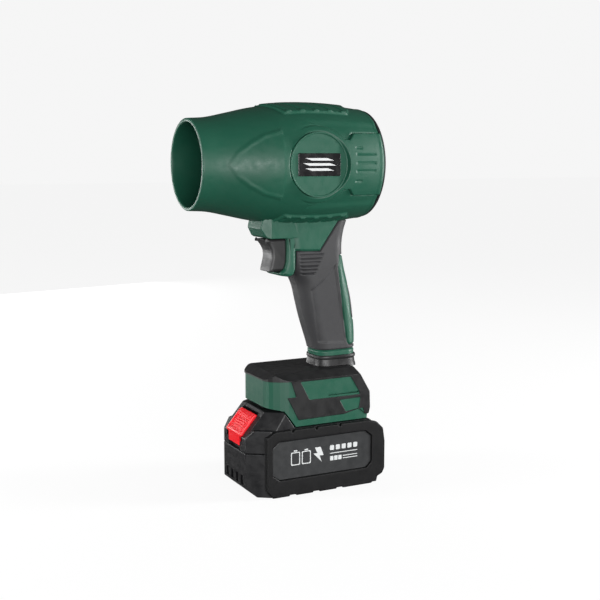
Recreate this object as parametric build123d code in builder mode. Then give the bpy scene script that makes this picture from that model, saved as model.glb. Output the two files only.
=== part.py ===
"""Cordless handheld leaf blower: a jet barrel on a pistol grip with a slide-on battery pack.

Millimetres.  +X is the way the air leaves, +Z is up, +Y is the left side of the tool.
The origin is on the surface the battery stands on, at the middle of its side bumpers.
"""
from build123d import *
import os

os.makedirs("parts", exist_ok=True)

# ---------------------------------------------------------------- driving dimensions
# barrel
AXIS_Z = 271.5                  # height of the barrel axis
MOUTH_X, MOUTH_R = 110.0, 36.5  # front rim
REAR_X, REAR_R = -45.0, 44.6    # rear rim of the green shell
WALL = 3.0
BORE_R = 44.0                   # cylindrical part of the inside
BORE_FRONT_X = 48.0             # where the cylindrical part ends and the nozzle begins
BARREL_PROFILE = [(MOUTH_X, MOUTH_R), (95, 37.4), (76, 41.2), (58, 45.1), (36, 48.1),
                  (9, 49.2), (-20, 48.1), (-40, 46.0)]
RIB_H = 1.6                     # height of the finger ribs over the barrel
PANEL_H = 1.2                   # height of the rear yoke panel over the barrel
BOSS_X, BOSS_R, BOSS_Y = 15.4, 24.5, 46.2   # flat round badge seat on each side
BADGE = (37.6, 18.0, 1.0)

# fan
DUCT_R, DUCT_WALL = 41.5, 2.0
DUCT_X0, DUCT_X1 = -34.0, 30.0
POD_R, POD_WALL = 19.5, 2.4
STATOR_VANES = 9
VANE_X0, VANE_X1 = -6.0, 22.0
IMPELLER_BLADES = 11
IMPELLER_X0, IMPELLER_X1 = -30.0, -13.0
IMPELLER_TIP_R = 38.8
HUB_R = 18.5
SHAFT_R = 2.5
BEARING_R, BEARING_W = 6.5, 5.0
RUNNING_GAP = 0.04
MOTOR_X0, MOTOR_X1 = -9.0, 25.0
MOTOR_R = POD_R - POD_WALL

# handle: height, front, rear, half thickness, corner radius
HANDLE = [(96, -3.0, -38.6, 15.6, 11.0), (108, -2.2, -39.0, 15.2, 11.0), (118, 0.0, -39.6, 15.0, 11.0),
          (130, 3.8, -39.4, 15.0, 11.0), (144, 8.2, -38.0, 15.3, 11.5), (158, 11.7, -35.9, 15.8, 12.0),
          (172, 15.2, -32.2, 16.2, 12.0), (186, 22.0, -28.0, 16.6, 11.0), (200, 26.0, -25.4, 16.8, 10.0),
          (214, 28.0, -26.6, 17.0, 10.0), (230, 30.0, -31.0, 17.6, 9.0)]
SKIN = 1.8                      # thickness of the soft grip moulded over the handle
SHELL = 2.8                     # wall of the handle with its soft grip
PALM_PAD_HALF_W, PALM_PAD_Z = 10.5, (139.5, 171.5)

# trigger
TRIGGER_HALF_W = 10.6
TRIGGER_Z0, TRIGGER_Z1 = 183.4, 210.8
TRIGGER_REAR_X = 17.0
SWITCH_X0, SWITCH_X1 = -15.0, 8.0
PLUNGER_R = 3.0
LEAD_Y = (-2.6, 0.0, 2.6)       # the three motor leads lie side by side
LEAD_SLOT_HALF_W = 4.2

# foot
FOOT_HALF_W = 33.0
FOOT_SIDE = [(-39.2, 56.8), (-41.5, 66.0), (-41.0, 80.0), (-28.5, 101.2), (43.5, 101.2),
             (52.6, 96.2), (52.6, 70.6), (39.7, 70.6), (29.6, 56.8)]
FOOT_PLAN = [(-45, 33), (37.8, 33), (52.6, 23), (52.6, -23), (37.8, -33), (-45, -33)]
FOOT_SECTION = [(33, 50), (33, 95.5), (26.5, 101.2), (-26.5, 101.2), (-33, 95.5), (-33, 50)]
COVER_T = 1.6                   # soft covers moulded over the foot
RAIL_HALF_W, RAIL_LIP_HALF_W = 24.4, 21.0
RAIL_LIP_Z, RAIL_TOP_Z = 59.6, 66.4

# battery
PACK_HALF_W = 34.5
PACK_SPLIT_Z = 36.5
PACK_TOP_Z = 56.3
PACK_REAR_X = -51.0
NOSE_X, NOSE_HALF_W = 70.8, 22.5
HUMP_Z, HUMP_X = 69.9, 52.9
SLOPE_Z = 49.0                  # where the sloping front meets the nose face
BUMPER_Y = 37.5
CELL_R, CELL_L, CELL_PITCH = 9.2, 65.0, 18.9
CELL_X0 = -32.5
CELL_ROWS_Z = (11.6, 30.5)
PACK_WALL = 2.0
PACK_SCREWS = [(-45.8, 28.0), (-45.8, -28.0), (58.5, 20.0), (58.5, -20.0)]
BUTTON_HALF_W, TAB_HALF_W = 15.0, 11.0
BLADE_Y = (-13.5, -4.5, 4.5, 13.5)

AXIS_X = Axis((0, 0, AXIS_Z), (1, 0, 0))
NOSE_SCREWS = [(40.0, 218.6)]
HANDLE_SCREWS = [(-22.0, 216.3), (5.6, 163.0), (-30.0, 128.0)]
FOOT_SCREWS = [(43.0, 86.0), (-31.8, 82.0)]
SIDE_SCREWS = NOSE_SCREWS + HANDLE_SCREWS + FOOT_SCREWS
SCREW_R, SCREW_HEAD_R, BOSS_PIPE_R = 1.5, 2.9, 3.6
SCREW_DEPTH = 9.0               # screws reach this far past the middle plane


def save(solids, name):
    """Label a finished piece and write it out."""
    solids.label = name
    export_step(solids, f"parts/{name}.step")


def ring(x0, x1, outer, inner):
    """A ring about the barrel axis."""
    with BuildPart() as piece:
        with BuildSketch(Plane(origin=(x0, 0, AXIS_Z), x_dir=(0, 1, 0), z_dir=(1, 0, 0))):
            Circle(outer)
            if inner:
                Circle(inner, mode=Mode.SUBTRACT)
        extrude(amount=x1 - x0)
    return piece.part


def box(x0, x1, y0, y1, z0, z1):
    """A block between two corners."""
    with BuildPart() as piece:
        with BuildSketch(Plane.XY.offset(z0)):
            with Locations(((x0 + x1) / 2, (y0 + y1) / 2)):
                Rectangle(x1 - x0, y1 - y0)
        extrude(amount=z1 - z0)
    return piece.part


def pin(x, z, y0, y1, radius):
    """A round pin across the tool, along Y."""
    with BuildPart() as piece:
        with BuildSketch(Plane(origin=(x, y0, z), x_dir=(1, 0, 0), z_dir=(0, 1, 0))):
            Circle(radius)
        extrude(amount=y1 - y0)
    return piece.part


def post(x, y, z0, z1, radius):
    """An upright round post."""
    with BuildPart() as piece:
        with BuildSketch(Plane(origin=(x, y, z0), x_dir=(1, 0, 0), z_dir=(0, 0, 1))):
            Circle(radius)
        extrude(amount=z1 - z0)
    return piece.part


def side_prism(points, y0, y1, rounding=0.0):
    """A side outline given in X and Z, as thick as y0 to y1."""
    with BuildPart() as piece:
        with BuildSketch(Plane(origin=(0, y1, 0), x_dir=(1, 0, 0), z_dir=(0, -1, 0))) as face:
            with BuildLine():
                Polyline(*points, close=True)
            make_face()
            if rounding:
                fillet(face.vertices(), rounding)
        extrude(amount=y1 - y0)
    return piece.part


def wire(points, radius, bend):
    """A round wire through the given points, with rounded corners."""
    with BuildPart() as piece:
        with BuildLine() as path:
            if len(points) == 2:
                Line(*points)
            else:
                FilletPolyline(*points, radius=bend)
        with BuildSketch(Plane(origin=path.line @ 0, z_dir=path.line % 0)):
            Circle(radius)
        sweep()
    return piece.part


# ---------------------------------------------------------------- barrel
def barrel_solid(raise_by=0.0):
    """The filled outer form of the barrel, grown outwards by raise_by."""
    with BuildPart() as piece:
        with BuildSketch(Plane.XZ):
            with BuildLine():
                outer = Spline(*[(x, AXIS_Z + r + raise_by) for x, r in BARREL_PROFILE])
                shoulder = ThreePointArc(outer @ 1, (-43.8, AXIS_Z + 45.5 + raise_by),
                                         (REAR_X, AXIS_Z + REAR_R + raise_by))
                Polyline(shoulder @ 1, (REAR_X, AXIS_Z), (MOUTH_X, AXIS_Z), outer @ 0)
            make_face()
        revolve(axis=AXIS_X)
    return piece.part


def barrel_bore():
    """The inside: a cylinder round the fan, then the nozzle narrowing to the mouth."""
    nozzle = [(x, r - WALL) for x, r in BARREL_PROFILE if 50 < x < MOUTH_X]
    with BuildPart() as piece:
        with BuildSketch(Plane.XZ):
            with BuildLine():
                inner = Spline((MOUTH_X, AXIS_Z + MOUTH_R - WALL), *[(x, AXIS_Z + r) for x, r in nozzle],
                               (BORE_FRONT_X, AXIS_Z + BORE_R))
                Polyline(inner @ 1, (REAR_X - 10, AXIS_Z + BORE_R), (REAR_X - 10, AXIS_Z),
                         (MOUTH_X + 5, AXIS_Z), (MOUTH_X + 5, AXIS_Z + MOUTH_R - WALL), inner @ 0)
            make_face()
        revolve(axis=AXIS_X)
    return piece.part


def finger_ribs(up):
    """Chevron ribs over the top (up=1) or the underside (up=-1) of the barrel."""
    with BuildPart() as piece:
        add(barrel_solid(RIB_H))
        with BuildSketch(Plane.XY.offset(AXIS_Z + up * 30)):
            with BuildLine():
                Polyline((50, 0), (37, 27), (-20, 27), (-25, 20), (-25, -20), (-20, -27), (37, -27), close=True)
            make_face()
        extrude(amount=up * 40, mode=Mode.INTERSECT)
        for i in range(6):
            tip_x = 49.5 - 13.0 * i
            with BuildSketch(Plane.XY.offset(AXIS_Z + up * 44)):
                with BuildLine():
                    Polyline((tip_x, 0), (tip_x - 13, 23), (tip_x - 15.4, 23), (tip_x - 2.6, 0),
                             (tip_x - 15.4, -23), (tip_x - 13, -23), close=True)
                make_face()
            extrude(amount=up * 20, mode=Mode.SUBTRACT)
    return piece.part


def side_features(side):
    """Yoke panel, badge seat and arrow ridge on the left (side=1) or right (side=-1) of the barrel."""
    plane = Plane(origin=(0, 0, AXIS_Z), x_dir=(1, 0, 0), z_dir=(0, -1, 0))
    with BuildPart() as panel:
        add(barrel_solid(PANEL_H))
        with BuildSketch(plane) as outline:
            with Locations((-28, 0)):
                Rectangle(34, 49.6)
            with Locations((BOSS_X, 0)):
                Circle(30.5)
            with Locations((BOSS_X + 30, 0)):
                Rectangle(30, 70, mode=Mode.SUBTRACT)
        extrude(amount=-side * 70, mode=Mode.INTERSECT)
        for off, x0 in ((13, -23), (8, -36), (1.2, -36), (-5.2, -36), (-13, -23)):
            with BuildSketch(plane):
                with Locations(((x0 - 17.5) / 2 - 1, off)):
                    Rectangle(-17.5 - x0, 0.9)
            extrude(amount=-side * 70, mode=Mode.SUBTRACT)
    with BuildPart() as ridge:
        add(barrel_solid(0.8))
        with BuildSketch(plane):
            with BuildLine():
                outer = Spline((45.4, 27.2), (72.7, 17.2), (90.3, 0), (72.7, -17.2), (45.4, -27.2))
                inner = Spline((45.4, 24.4), (70.9, 15.0), (87.0, 0), (70.9, -15.0), (45.4, -24.4))
                Line(outer @ 0, inner @ 0)
                Line(outer @ 1, inner @ 1)
            make_face()
        extrude(amount=-side * 70, mode=Mode.INTERSECT)
    with BuildPart() as piece:
        add(panel.part)
        add(ridge.part)
        with BuildSketch(plane.offset(-side * 30)):
            with Locations((BOSS_X, 0)):
                Circle(BOSS_R + 1.3)
        extrude(amount=-side * (BOSS_Y + 0.7 - 30))
    return piece.part


def badge_seat(side):
    """The flat round recess that the badge plate is stuck into."""
    plane = Plane(origin=(0, side * BOSS_Y, AXIS_Z), x_dir=(1, 0, 0), z_dir=(0, side, 0))
    with BuildPart() as piece:
        with BuildSketch(plane):
            with Locations((BOSS_X, 0)):
                Circle(BOSS_R)
        extrude(amount=15)
    return piece.part


# ---------------------------------------------------------------- handle and foot
def handle_solid(inset=0.0):
    """The slanted pistol grip through its cross-sections, shrunk all round by inset."""
    with BuildPart() as piece:
        for z, front, rear, half, corner in HANDLE:
            with BuildSketch(Plane.XY.offset(z)):
                with Locations(((front + rear) / 2, 0)):
                    RectangleRounded(front - rear - 2 * inset, 2 * (half - inset), corner - inset)
        loft()
    return piece.part


def nose_block():
    """The block under the barrel that roofs the trigger."""
    outline = [(-8, 232), (2, 211.4), (44.5, 211.4), (47.5, 213), (51.8, 219.8), (50.0, 226.5), (43, 232)]
    with BuildPart() as piece:
        add(side_prism(outline, -16.9, 16.9))
        chamfer(piece.edges().filter_by(Axis.Y, reverse=True).group_by(Axis.X)[-1], 3.5)
    return piece.part


def trigger_surround():
    """The lip under the trigger and the cheeks on both sides of it."""
    lip = [(20, 183.4), (30, 182.9), (34.8, 182.4), (33.4, 180.3), (27, 179.3), (23, 179.6)]
    cheek = [(18, 213), (28.6, 213), (28.2, 200), (28.6, 191), (30.4, 186), (34.4, 183), (33.2, 180.4),
             (27, 179.4), (23.2, 180.6), (20.8, 185), (20.8, 200.5)]
    with BuildPart() as piece:
        add(side_prism(lip, -12.6, 12.6, rounding=0.6))
        add([side_prism(cheek, *sorted((side * 11.1, side * 15.8))) for side in (1, -1)])
    return piece.part


def trigger_opening():
    """The space that the trigger moves in, a little wider than the trigger."""
    return box(9.5, 60, -TRIGGER_HALF_W - 0.5, TRIGGER_HALF_W + 0.5, 182.9, 211.4)


def foot_solid(inset=0.0):
    """The battery foot: a side outline, a plan and a cross-section that bound one block."""
    with BuildPart() as piece:
        with BuildSketch(Plane.XZ):
            with BuildLine():
                Polyline(*FOOT_SIDE, close=True)
            make_face()
            if inset:
                offset(amount=-inset, kind=Kind.INTERSECTION)
        extrude(amount=FOOT_HALF_W - inset, both=True)
        with BuildSketch(Plane.XY.offset(40)) as plan:
            with BuildLine():
                Polyline(*FOOT_PLAN, close=True)
            make_face()
            if inset:
                offset(amount=-inset, kind=Kind.INTERSECTION)
            fillet(plan.vertices().group_by(Axis.X)[1], 5.0)
            fillet(plan.vertices().group_by(Axis.X)[-1], 5.0)
        extrude(amount=80, mode=Mode.INTERSECT)
        with BuildSketch(Plane.YZ.offset(-60)):
            with BuildLine():
                Polyline(*FOOT_SECTION, close=True)
            make_face()
            if inset:
                offset(amount=-inset, kind=Kind.INTERSECTION)
        extrude(amount=130, mode=Mode.INTERSECT)
    return piece.part


def grip_region():
    """Side outline of the soft grip: below a slanted edge and behind the trigger."""
    return side_prism([(20.4, 186), (21.2, 200.8), (-1.2, 199.9), (-19, 225.5), (-45, 225.5), (-60, 114.5),
                       (20, 114.5), (36, 150), (36, 178.6), (23.5, 178.6)], -25, 25)


def spine_region():
    """The green spine that the soft grip leaves bare at the back, with a slot for the palm pad."""
    return side_prism([(-21, 195.5), (-19.2, 186), (-22.2, 165), (-25.6, 140), (-28.8, 121), (-31, 118),
                       (-60, 118), (-60, 195.5)], -25, 25)


def cover_region():
    """Side outline of the soft dark foot cover, which leaves two green windows."""
    with BuildPart() as piece:
        add(side_prism([(60, 96.0), (34, 96.0), (29, 81.8), (36.9, 81.8), (26.9, 62.2), (-16.7, 62.7),
                        (-30.3, 66.0), (-36.5, 60.5), (-50, 60.5), (-50, 110), (60, 110)], -40, 40))
        add(side_prism([(25, 94.4), (16.7, 78.4), (-32.1, 78.3), (-22.3, 96.1)], -40, 40), mode=Mode.SUBTRACT)
        add(side_prism([(-11.8, 75.3), (-32.1, 75.6), (-30.3, 66.3), (-17.7, 64.7)], -40, 40),
            mode=Mode.SUBTRACT)
    return piece.part


def wells(places):
    """Sunk holes for screw heads, open on the right side."""
    return [pin(x, z, -40, -11.0, SCREW_HEAD_R + 0.2) for x, z in places]


def half(solid, side, name):
    """Keep the left (side=1) or right (side=-1) half of a solid and write it out."""
    with BuildPart() as piece:
        add(solid)
        split(bisect_by=Plane(origin=(0, 0, 0), x_dir=(1, 0, 0), z_dir=(0, side, 0)), keep=Keep.TOP)
    save(piece.part, name)


print("shells")
handle_outer = handle_solid()
handle_under_skin = handle_solid(SKIN)
handle_inside = handle_solid(SHELL)
foot_outer = foot_solid()
foot_under_cover = foot_solid(COVER_T)

with BuildPart() as grip:
    add(handle_outer)
    add(handle_under_skin, mode=Mode.SUBTRACT)
    add(grip_region(), mode=Mode.INTERSECT)
    add(spine_region(), mode=Mode.SUBTRACT)
    add(trigger_opening(), mode=Mode.SUBTRACT)
    add(box(-60, -20, -PALM_PAD_HALF_W, PALM_PAD_HALF_W, *PALM_PAD_Z), mode=Mode.SUBTRACT)
    add(wells(HANDLE_SCREWS), mode=Mode.SUBTRACT)

with BuildPart() as cover:
    add(foot_outer)
    add(foot_under_cover, mode=Mode.SUBTRACT)
    add(cover_region(), mode=Mode.INTERSECT)
    with BuildSketch(Plane.XY.offset(99.0)):
        with Locations((-20.6, 0)):
            RectangleRounded(41.2, 34.4, 12)
    extrude(amount=11.0)
    add(handle_outer, mode=Mode.SUBTRACT)
    add(wells(FOOT_SCREWS), mode=Mode.SUBTRACT)

with BuildPart() as palm_recess:
    add(handle_outer)
    add(handle_under_skin, mode=Mode.SUBTRACT)
    add(box(-60, -20, -PALM_PAD_HALF_W, PALM_PAD_HALF_W, *PALM_PAD_Z), mode=Mode.INTERSECT)

with BuildPart() as housing:
    add(barrel_solid())
    add(finger_ribs(1))
    add(finger_ribs(-1))
    add(side_features(1))
    add(side_features(-1))
    add(badge_seat(1), mode=Mode.SUBTRACT)
    add(badge_seat(-1), mode=Mode.SUBTRACT)
    add(handle_outer)
    add(nose_block())
    add(trigger_surround())
    add(foot_outer)
    add(barrel_bore(), mode=Mode.SUBTRACT)
    # handle inside, closed off below the barrel
    with BuildPart(mode=Mode.PRIVATE) as handle_cavity:
        add(handle_inside)
        add(box(-60, 60, -30, 30, 98, 219.5), mode=Mode.INTERSECT)
    add(handle_cavity.part, mode=Mode.SUBTRACT)
    # trigger opening
    add(trigger_opening(), mode=Mode.SUBTRACT)
    # passage for the motor leads between handle and barrel
    add(box(4.6, 9.4, -LEAD_SLOT_HALF_W, LEAD_SLOT_HALF_W, 215, 232), mode=Mode.SUBTRACT)
    # foot inside, and the rail channel that the battery slides into
    with BuildPart(mode=Mode.PRIVATE) as foot_cavity:
        add(foot_solid(SHELL))
        add(box(-32, 60, -40, 40, 68.4, 110), mode=Mode.INTERSECT)
        add(box(33, 60, -40, 40, 50, 73.4), mode=Mode.SUBTRACT)
    add(foot_cavity.part, mode=Mode.SUBTRACT)
    add(box(-36, 60, -RAIL_LIP_HALF_W, RAIL_LIP_HALF_W, 50, RAIL_LIP_Z), mode=Mode.SUBTRACT)
    add(box(-36, 60, -RAIL_HALF_W, RAIL_HALF_W, RAIL_LIP_Z, RAIL_TOP_Z), mode=Mode.SUBTRACT)
    add(box(-30, -24, -15, 15, 60, 72), mode=Mode.SUBTRACT)
    # recesses for the soft parts
    add(grip.part, mode=Mode.SUBTRACT)
    add(palm_recess.part, mode=Mode.SUBTRACT)
    add(cover.part, mode=Mode.SUBTRACT)

with BuildPart() as screw_pipes:
    for pipes, bound in ((HANDLE_SCREWS, handle_under_skin), (FOOT_SCREWS, foot_under_cover)):
        with BuildPart(mode=Mode.PRIVATE) as bundle:
            for x, z in pipes:
                add(pin(x, z, -40, 40, BOSS_PIPE_R))
            add(bound, mode=Mode.INTERSECT)
        add(bundle.part)

print("halves")
for side, name in ((1, "left_housing"), (-1, "right_housing")):
    with BuildPart() as piece:
        add(housing.part)
        add(screw_pipes.part)
        add(trigger_opening(), mode=Mode.SUBTRACT)
        split(bisect_by=Plane(origin=(0, 0, 0), x_dir=(1, 0, 0), z_dir=(0, side, 0)), keep=Keep.TOP)
        for x, z in SIDE_SCREWS:
            add(pin(x, z, -40, SCREW_DEPTH, SCREW_R), mode=Mode.SUBTRACT)
        add(wells(SIDE_SCREWS), mode=Mode.SUBTRACT)
    save(piece.part, name)
    half(grip.part, side, name.replace("housing", "grip_overmould"))
    half(cover.part, side, name.replace("housing", "foot_cover"))
    with BuildPart() as badge:
        with BuildSketch(Plane(origin=(BOSS_X, side * BOSS_Y, AXIS_Z), x_dir=(1, 0, 0), z_dir=(0, side, 0))):
            RectangleRounded(BADGE[0], BADGE[1], 1.5)
        extrude(amount=BADGE[2])
    save(badge.part, name.replace("housing", "badge_plate"))
save(palm_recess.part, "palm_pad")

with BuildPart() as screws:
    for x, z in SIDE_SCREWS:
        add(pin(x, z, -11.0, SCREW_DEPTH, SCREW_R))
        add(pin(x, z, -13.4, -11.0, SCREW_HEAD_R))
        add(pin(x, z, -13.6, -12.4, 1.2), mode=Mode.SUBTRACT)
save(screws.part, "housing_screws")


# ---------------------------------------------------------------- fan and motor
print("fan")
axis_plane = Plane(origin=(0, 0, AXIS_Z), x_dir=(0, 1, 0), z_dir=(1, 0, 0))

with BuildPart() as fan_duct:
    add(ring(DUCT_X0, DUCT_X1, DUCT_R, DUCT_R - DUCT_WALL))
    for i in range(STATOR_VANES):
        turn = -90 + i * 360 / STATOR_VANES
        width = 10.4 if i == 0 else 1.8       # the lowest vane is hollow and carries the motor leads
        with BuildSketch(axis_plane.offset(VANE_X0)):
            with Locations(Rotation(0, 0, turn) * Pos((DUCT_R - 1 + POD_R - 1) / 2, 0)):
                Rectangle(DUCT_R - POD_R, width)
        extrude(amount=VANE_X1 - VANE_X0)
    add(ring(MOTOR_X0 - 2.0, MOTOR_X1, POD_R, 0))
    add(ring(MOTOR_X0, MOTOR_X1 + 1, MOTOR_R, 0), mode=Mode.SUBTRACT)
    add(ring(MOTOR_X0 - 3, MOTOR_X0 + 1, 8.0, 0), mode=Mode.SUBTRACT)
    add(box(4.8, 9.2, -LEAD_SLOT_HALF_W + 0.1, LEAD_SLOT_HALF_W - 0.1, AXIS_Z - 43, AXIS_Z - MOTOR_R + 1),
        mode=Mode.SUBTRACT)
save(fan_duct.part, "fan_duct")

with BuildPart() as isolation_rings:
    for x in (DUCT_X0 + 3, DUCT_X1 - 8):
        add(ring(x, x + 5, BORE_R, DUCT_R))
save(isolation_rings.part, "isolation_rings")

with BuildPart() as tail_cone:
    with BuildSketch(Plane.XZ):
        with BuildLine():
            skin_line = Spline((MOTOR_X1, AXIS_Z + POD_R), (42, AXIS_Z + 15.5), (60, AXIS_Z + 6.0), (66, AXIS_Z),
                               tangents=[(1, 0), (0, -1)])
            inner_line = Spline((62.5, AXIS_Z), (57, AXIS_Z + 5.2), (41, AXIS_Z + 13.3),
                                (MOTOR_X1, AXIS_Z + POD_R - 2.2), tangents=[(0, 1), (-1, 0)])
            Line(skin_line @ 1, inner_line @ 0)
            Line(inner_line @ 1, skin_line @ 0)
        make_face()
    revolve(axis=AXIS_X)
save(tail_cone.part, "tail_cone")

with BuildPart() as motor_can:
    add(ring(MOTOR_X0 + 2, MOTOR_X1, MOTOR_R, MOTOR_R - 1.4))
    add(ring(MOTOR_X1 - 2.5, MOTOR_X1, MOTOR_R, BEARING_R))
    add(ring(MOTOR_X1 - 2.5 - BEARING_W + 2.5, MOTOR_X1 - 2.5, BEARING_R + 2, BEARING_R))
save(motor_can.part, "motor_can")

with BuildPart() as motor_end_cap:
    add(ring(MOTOR_X0, MOTOR_X0 + 2, MOTOR_R, BEARING_R))
    add(ring(MOTOR_X0 + 2, MOTOR_X0 + BEARING_W, BEARING_R + 2, BEARING_R))
save(motor_end_cap.part, "motor_end_cap")

with BuildPart() as bearings:
    for x in (MOTOR_X0, MOTOR_X1 - BEARING_W):
        add(ring(x, x + BEARING_W, BEARING_R, SHAFT_R + RUNNING_GAP))
save(bearings.part, "motor_bearings")

ROTOR_R = 7.6
with BuildPart() as stator_core:
    add(ring(0, 16, MOTOR_R - 1.4, MOTOR_R - 3.7))
    for i in range(6):
        with BuildSketch(axis_plane):
            with Locations(Rotation(0, 0, i * 60) * Pos(11.0, 0)):
                Rectangle(5.0, 3.0)
            with Locations(Rotation(0, 0, i * 60) * Pos(9.2, 0)):
                Rectangle(1.6, 6.6)
        extrude(amount=16)
    add(ring(-1, 17, ROTOR_R + 0.5, 0), mode=Mode.SUBTRACT)
save(stator_core.part, "stator_core")

with BuildPart() as windings:
    for i in range(6):
        with BuildSketch(axis_plane.offset(-1.6)):
            with Locations(Rotation(0, 0, i * 60) * Pos(11.4, 0)):
                Rectangle(2.4, 7.4)
                Rectangle(2.4, 3.0, mode=Mode.SUBTRACT)
        extrude(amount=19.2)
        for x in (-1.6, 16.0):
            with BuildSketch(axis_plane.offset(x)):
                with Locations(Rotation(0, 0, i * 60) * Pos(11.4, 0)):
                    Rectangle(2.4, 3.0)
            extrude(amount=1.6)
save(windings.part, "motor_windings")

save(ring(0.5, 15.5, ROTOR_R, SHAFT_R), "rotor_magnet")
save(ring(-34.6, MOTOR_X1 - 0.5, SHAFT_R, 0), "motor_shaft")

# impeller: a cup-shaped hub with twisted blades
with BuildPart() as blade:
    for radius, pitch, chord in ((HUB_R - 1.5, 52, 17.0), (28.0, 38, 18.5), (IMPELLER_TIP_R + 1.0, 28, 19.0)):
        with BuildSketch(Plane(origin=((IMPELLER_X0 + IMPELLER_X1) / 2, 0, AXIS_Z + radius),
                               x_dir=(1, 0, 0), z_dir=(0, 0, 1))):
            with Locations(Rotation(0, 0, 90 - pitch)):
                Ellipse(chord / 2, 0.9)
    loft()
with BuildPart() as impeller:
    for i in range(IMPELLER_BLADES):
        add(blade.part.rotate(AXIS_X, i * 360 / IMPELLER_BLADES))
    add(ring(IMPELLER_X0 - 1, IMPELLER_X1 + 1, IMPELLER_TIP_R, HUB_R - 2), mode=Mode.INTERSECT)
    add(ring(IMPELLER_X0, IMPELLER_X1, HUB_R, 0))
    add(ring(IMPELLER_X0 + 3, IMPELLER_X1 + 1, HUB_R - 2.2, 5.5), mode=Mode.SUBTRACT)
    add(ring(IMPELLER_X0 - 1, IMPELLER_X1 + 1, SHAFT_R, 0), mode=Mode.SUBTRACT)
save(impeller.part, "impeller")

with BuildPart() as impeller_nut:
    with BuildSketch(axis_plane.offset(IMPELLER_X0 - 4.0)):
        RegularPolygon(4.6, 6)
        Circle(SHAFT_R, mode=Mode.SUBTRACT)
    extrude(amount=4.0)
save(impeller_nut.part, "impeller_nut")

with BuildPart() as spinner:
    with BuildSketch(Plane.XZ):
        with BuildLine():
            dome = Spline((IMPELLER_X0, AXIS_Z + HUB_R), (-36.0, AXIS_Z + 13.5), (-40.0, AXIS_Z),
                          tangents=[(-0.4, -0.3), (0, -1)])
            hollow = Spline((-38.0, AXIS_Z), (-34.5, AXIS_Z + 11.8), (IMPELLER_X0, AXIS_Z + HUB_R - 2.0),
                            tangents=[(0, 1), (0.4, 0.3)])
            Line(dome @ 1, hollow @ 0)
            Line(hollow @ 1, dome @ 0)
        make_face()
    revolve(axis=AXIS_X)
save(spinner.part, "impeller_spinner")

with BuildPart() as grille:
    add(ring(-46.8, REAR_X, REAR_R + 0.4, BORE_R - 3.0))
    add(ring(REAR_X, -42.0, BORE_R, BORE_R - 3.0))
    for radius in (8.0, 17.0, 26.0, 34.0):
        add(ring(-46.8, -44.0, radius, radius - 1.8))
    for i in range(12):
        with BuildSketch(axis_plane.offset(-46.4)):
            with Locations(Rotation(0, 0, i * 30) * Pos(24.5, 0)):
                Rectangle(35.0, 1.6)
        extrude(amount=2.4)
    add(ring(-46.8, -44.0, 8.0, 0))
save(grille.part, "rear_grille")

# ---------------------------------------------------------------- trigger and switch
print("controls")
with BuildPart() as trigger:
    with BuildSketch(Plane.XZ):
        with BuildLine():
            front = Spline((47.6, TRIGGER_Z1), (41.8, 205.2), (39.6, 199.2), (40.7, 191.2), (42.4, TRIGGER_Z0))
            Polyline(front @ 1, (30.0, TRIGGER_Z0), (22.5, 185.6), (TRIGGER_REAR_X, 190.0),
                     (TRIGGER_REAR_X, TRIGGER_Z1), front @ 0)
        make_face()
    extrude(amount=TRIGGER_HALF_W, both=True)
    fillet(trigger.edges().filter_by(GeomType.BSPLINE), 2.5)
    # side lugs that stop the trigger behind the edges of its opening
    add(box(TRIGGER_REAR_X, TRIGGER_REAR_X + 1.8, -11.9, 11.9, 197.5, 208))
save(trigger.part, "trigger")

with BuildPart() as plunger:
    with BuildSketch(Plane(origin=(-2.0, 0, 200.5), x_dir=(0, 1, 0), z_dir=(1, 0, 0))):
        Circle(PLUNGER_R)
    extrude(amount=TRIGGER_REAR_X - (-2.0))
save(plunger.part, "trigger_plunger")

with BuildPart() as switch:
    add(box(SWITCH_X0, SWITCH_X1, -10.0, 10.0, 187.0, 207.0))
    chamfer(switch.edges().filter_by(Axis.Z), 1.0)
    with BuildSketch(Plane(origin=(-10.0, 0, 200.5), x_dir=(0, 1, 0), z_dir=(1, 0, 0))):
        Circle(PLUNGER_R + 0.06)
    extrude(amount=SWITCH_X1 + 10.0, mode=Mode.SUBTRACT)
    for y in (-10.6, 10.0):
        add(box(-9, 3, y, y + 0.6, 190, 194))
save(switch.part, "switch_module")


def coil_spring(base, direction, length, radius, wire_radius, turns):
    """A round-wire compression spring from base along direction."""
    with BuildPart() as piece:
        with BuildLine():
            path = Helix(pitch=length / turns, height=length, radius=radius, center=base, direction=direction)
        with BuildSketch(Plane(origin=path @ 0, z_dir=path % 0)):
            Circle(wire_radius)
        sweep(is_frenet=True)
    return piece.part


save(coil_spring((SWITCH_X1 + 0.7, 0, 200.5), (1, 0, 0), TRIGGER_REAR_X - SWITCH_X1 - 1.4, 4.4, 0.45, 4),
     "trigger_spring")

# ---------------------------------------------------------------- electronics in the foot
with BuildPart() as tray:
    add(box(-22.4, 32, -22, 22, 70.0, 76.0))
    add(box(-21.0, 30.6, -20.6, 20.6, 71.4, 77.0), mode=Mode.SUBTRACT)
save(tray.part, "controller_tray")

with BuildPart() as board:
    add(box(-21.0, 30.6, -20.6, 20.6, 73.0, 74.6))
    for x in (-12, -1, 10):
        for y in (-14, 14):
            add(box(x - 4.5, x + 4.5, y - 4.5, y + 4.5, 74.6, 77.0))
    for y in (-10, 10):
        add(post(22, y, 74.6, 85.6, 5.5))
save(board.part, "control_board")

with BuildPart() as terminal_block:
    add(box(-35.6, -21.0, -19.5, 19.5, 58.0, 66.4))
    add(box(-29.6, -24.4, -14.6, 14.6, 66.4, 68.4))
    for y in BLADE_Y:
        add(box(-33.0, -20.0, y - 0.4, y + 0.4, 59.0, 64.0), mode=Mode.SUBTRACT)
save(terminal_block.part, "terminal_block")

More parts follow.
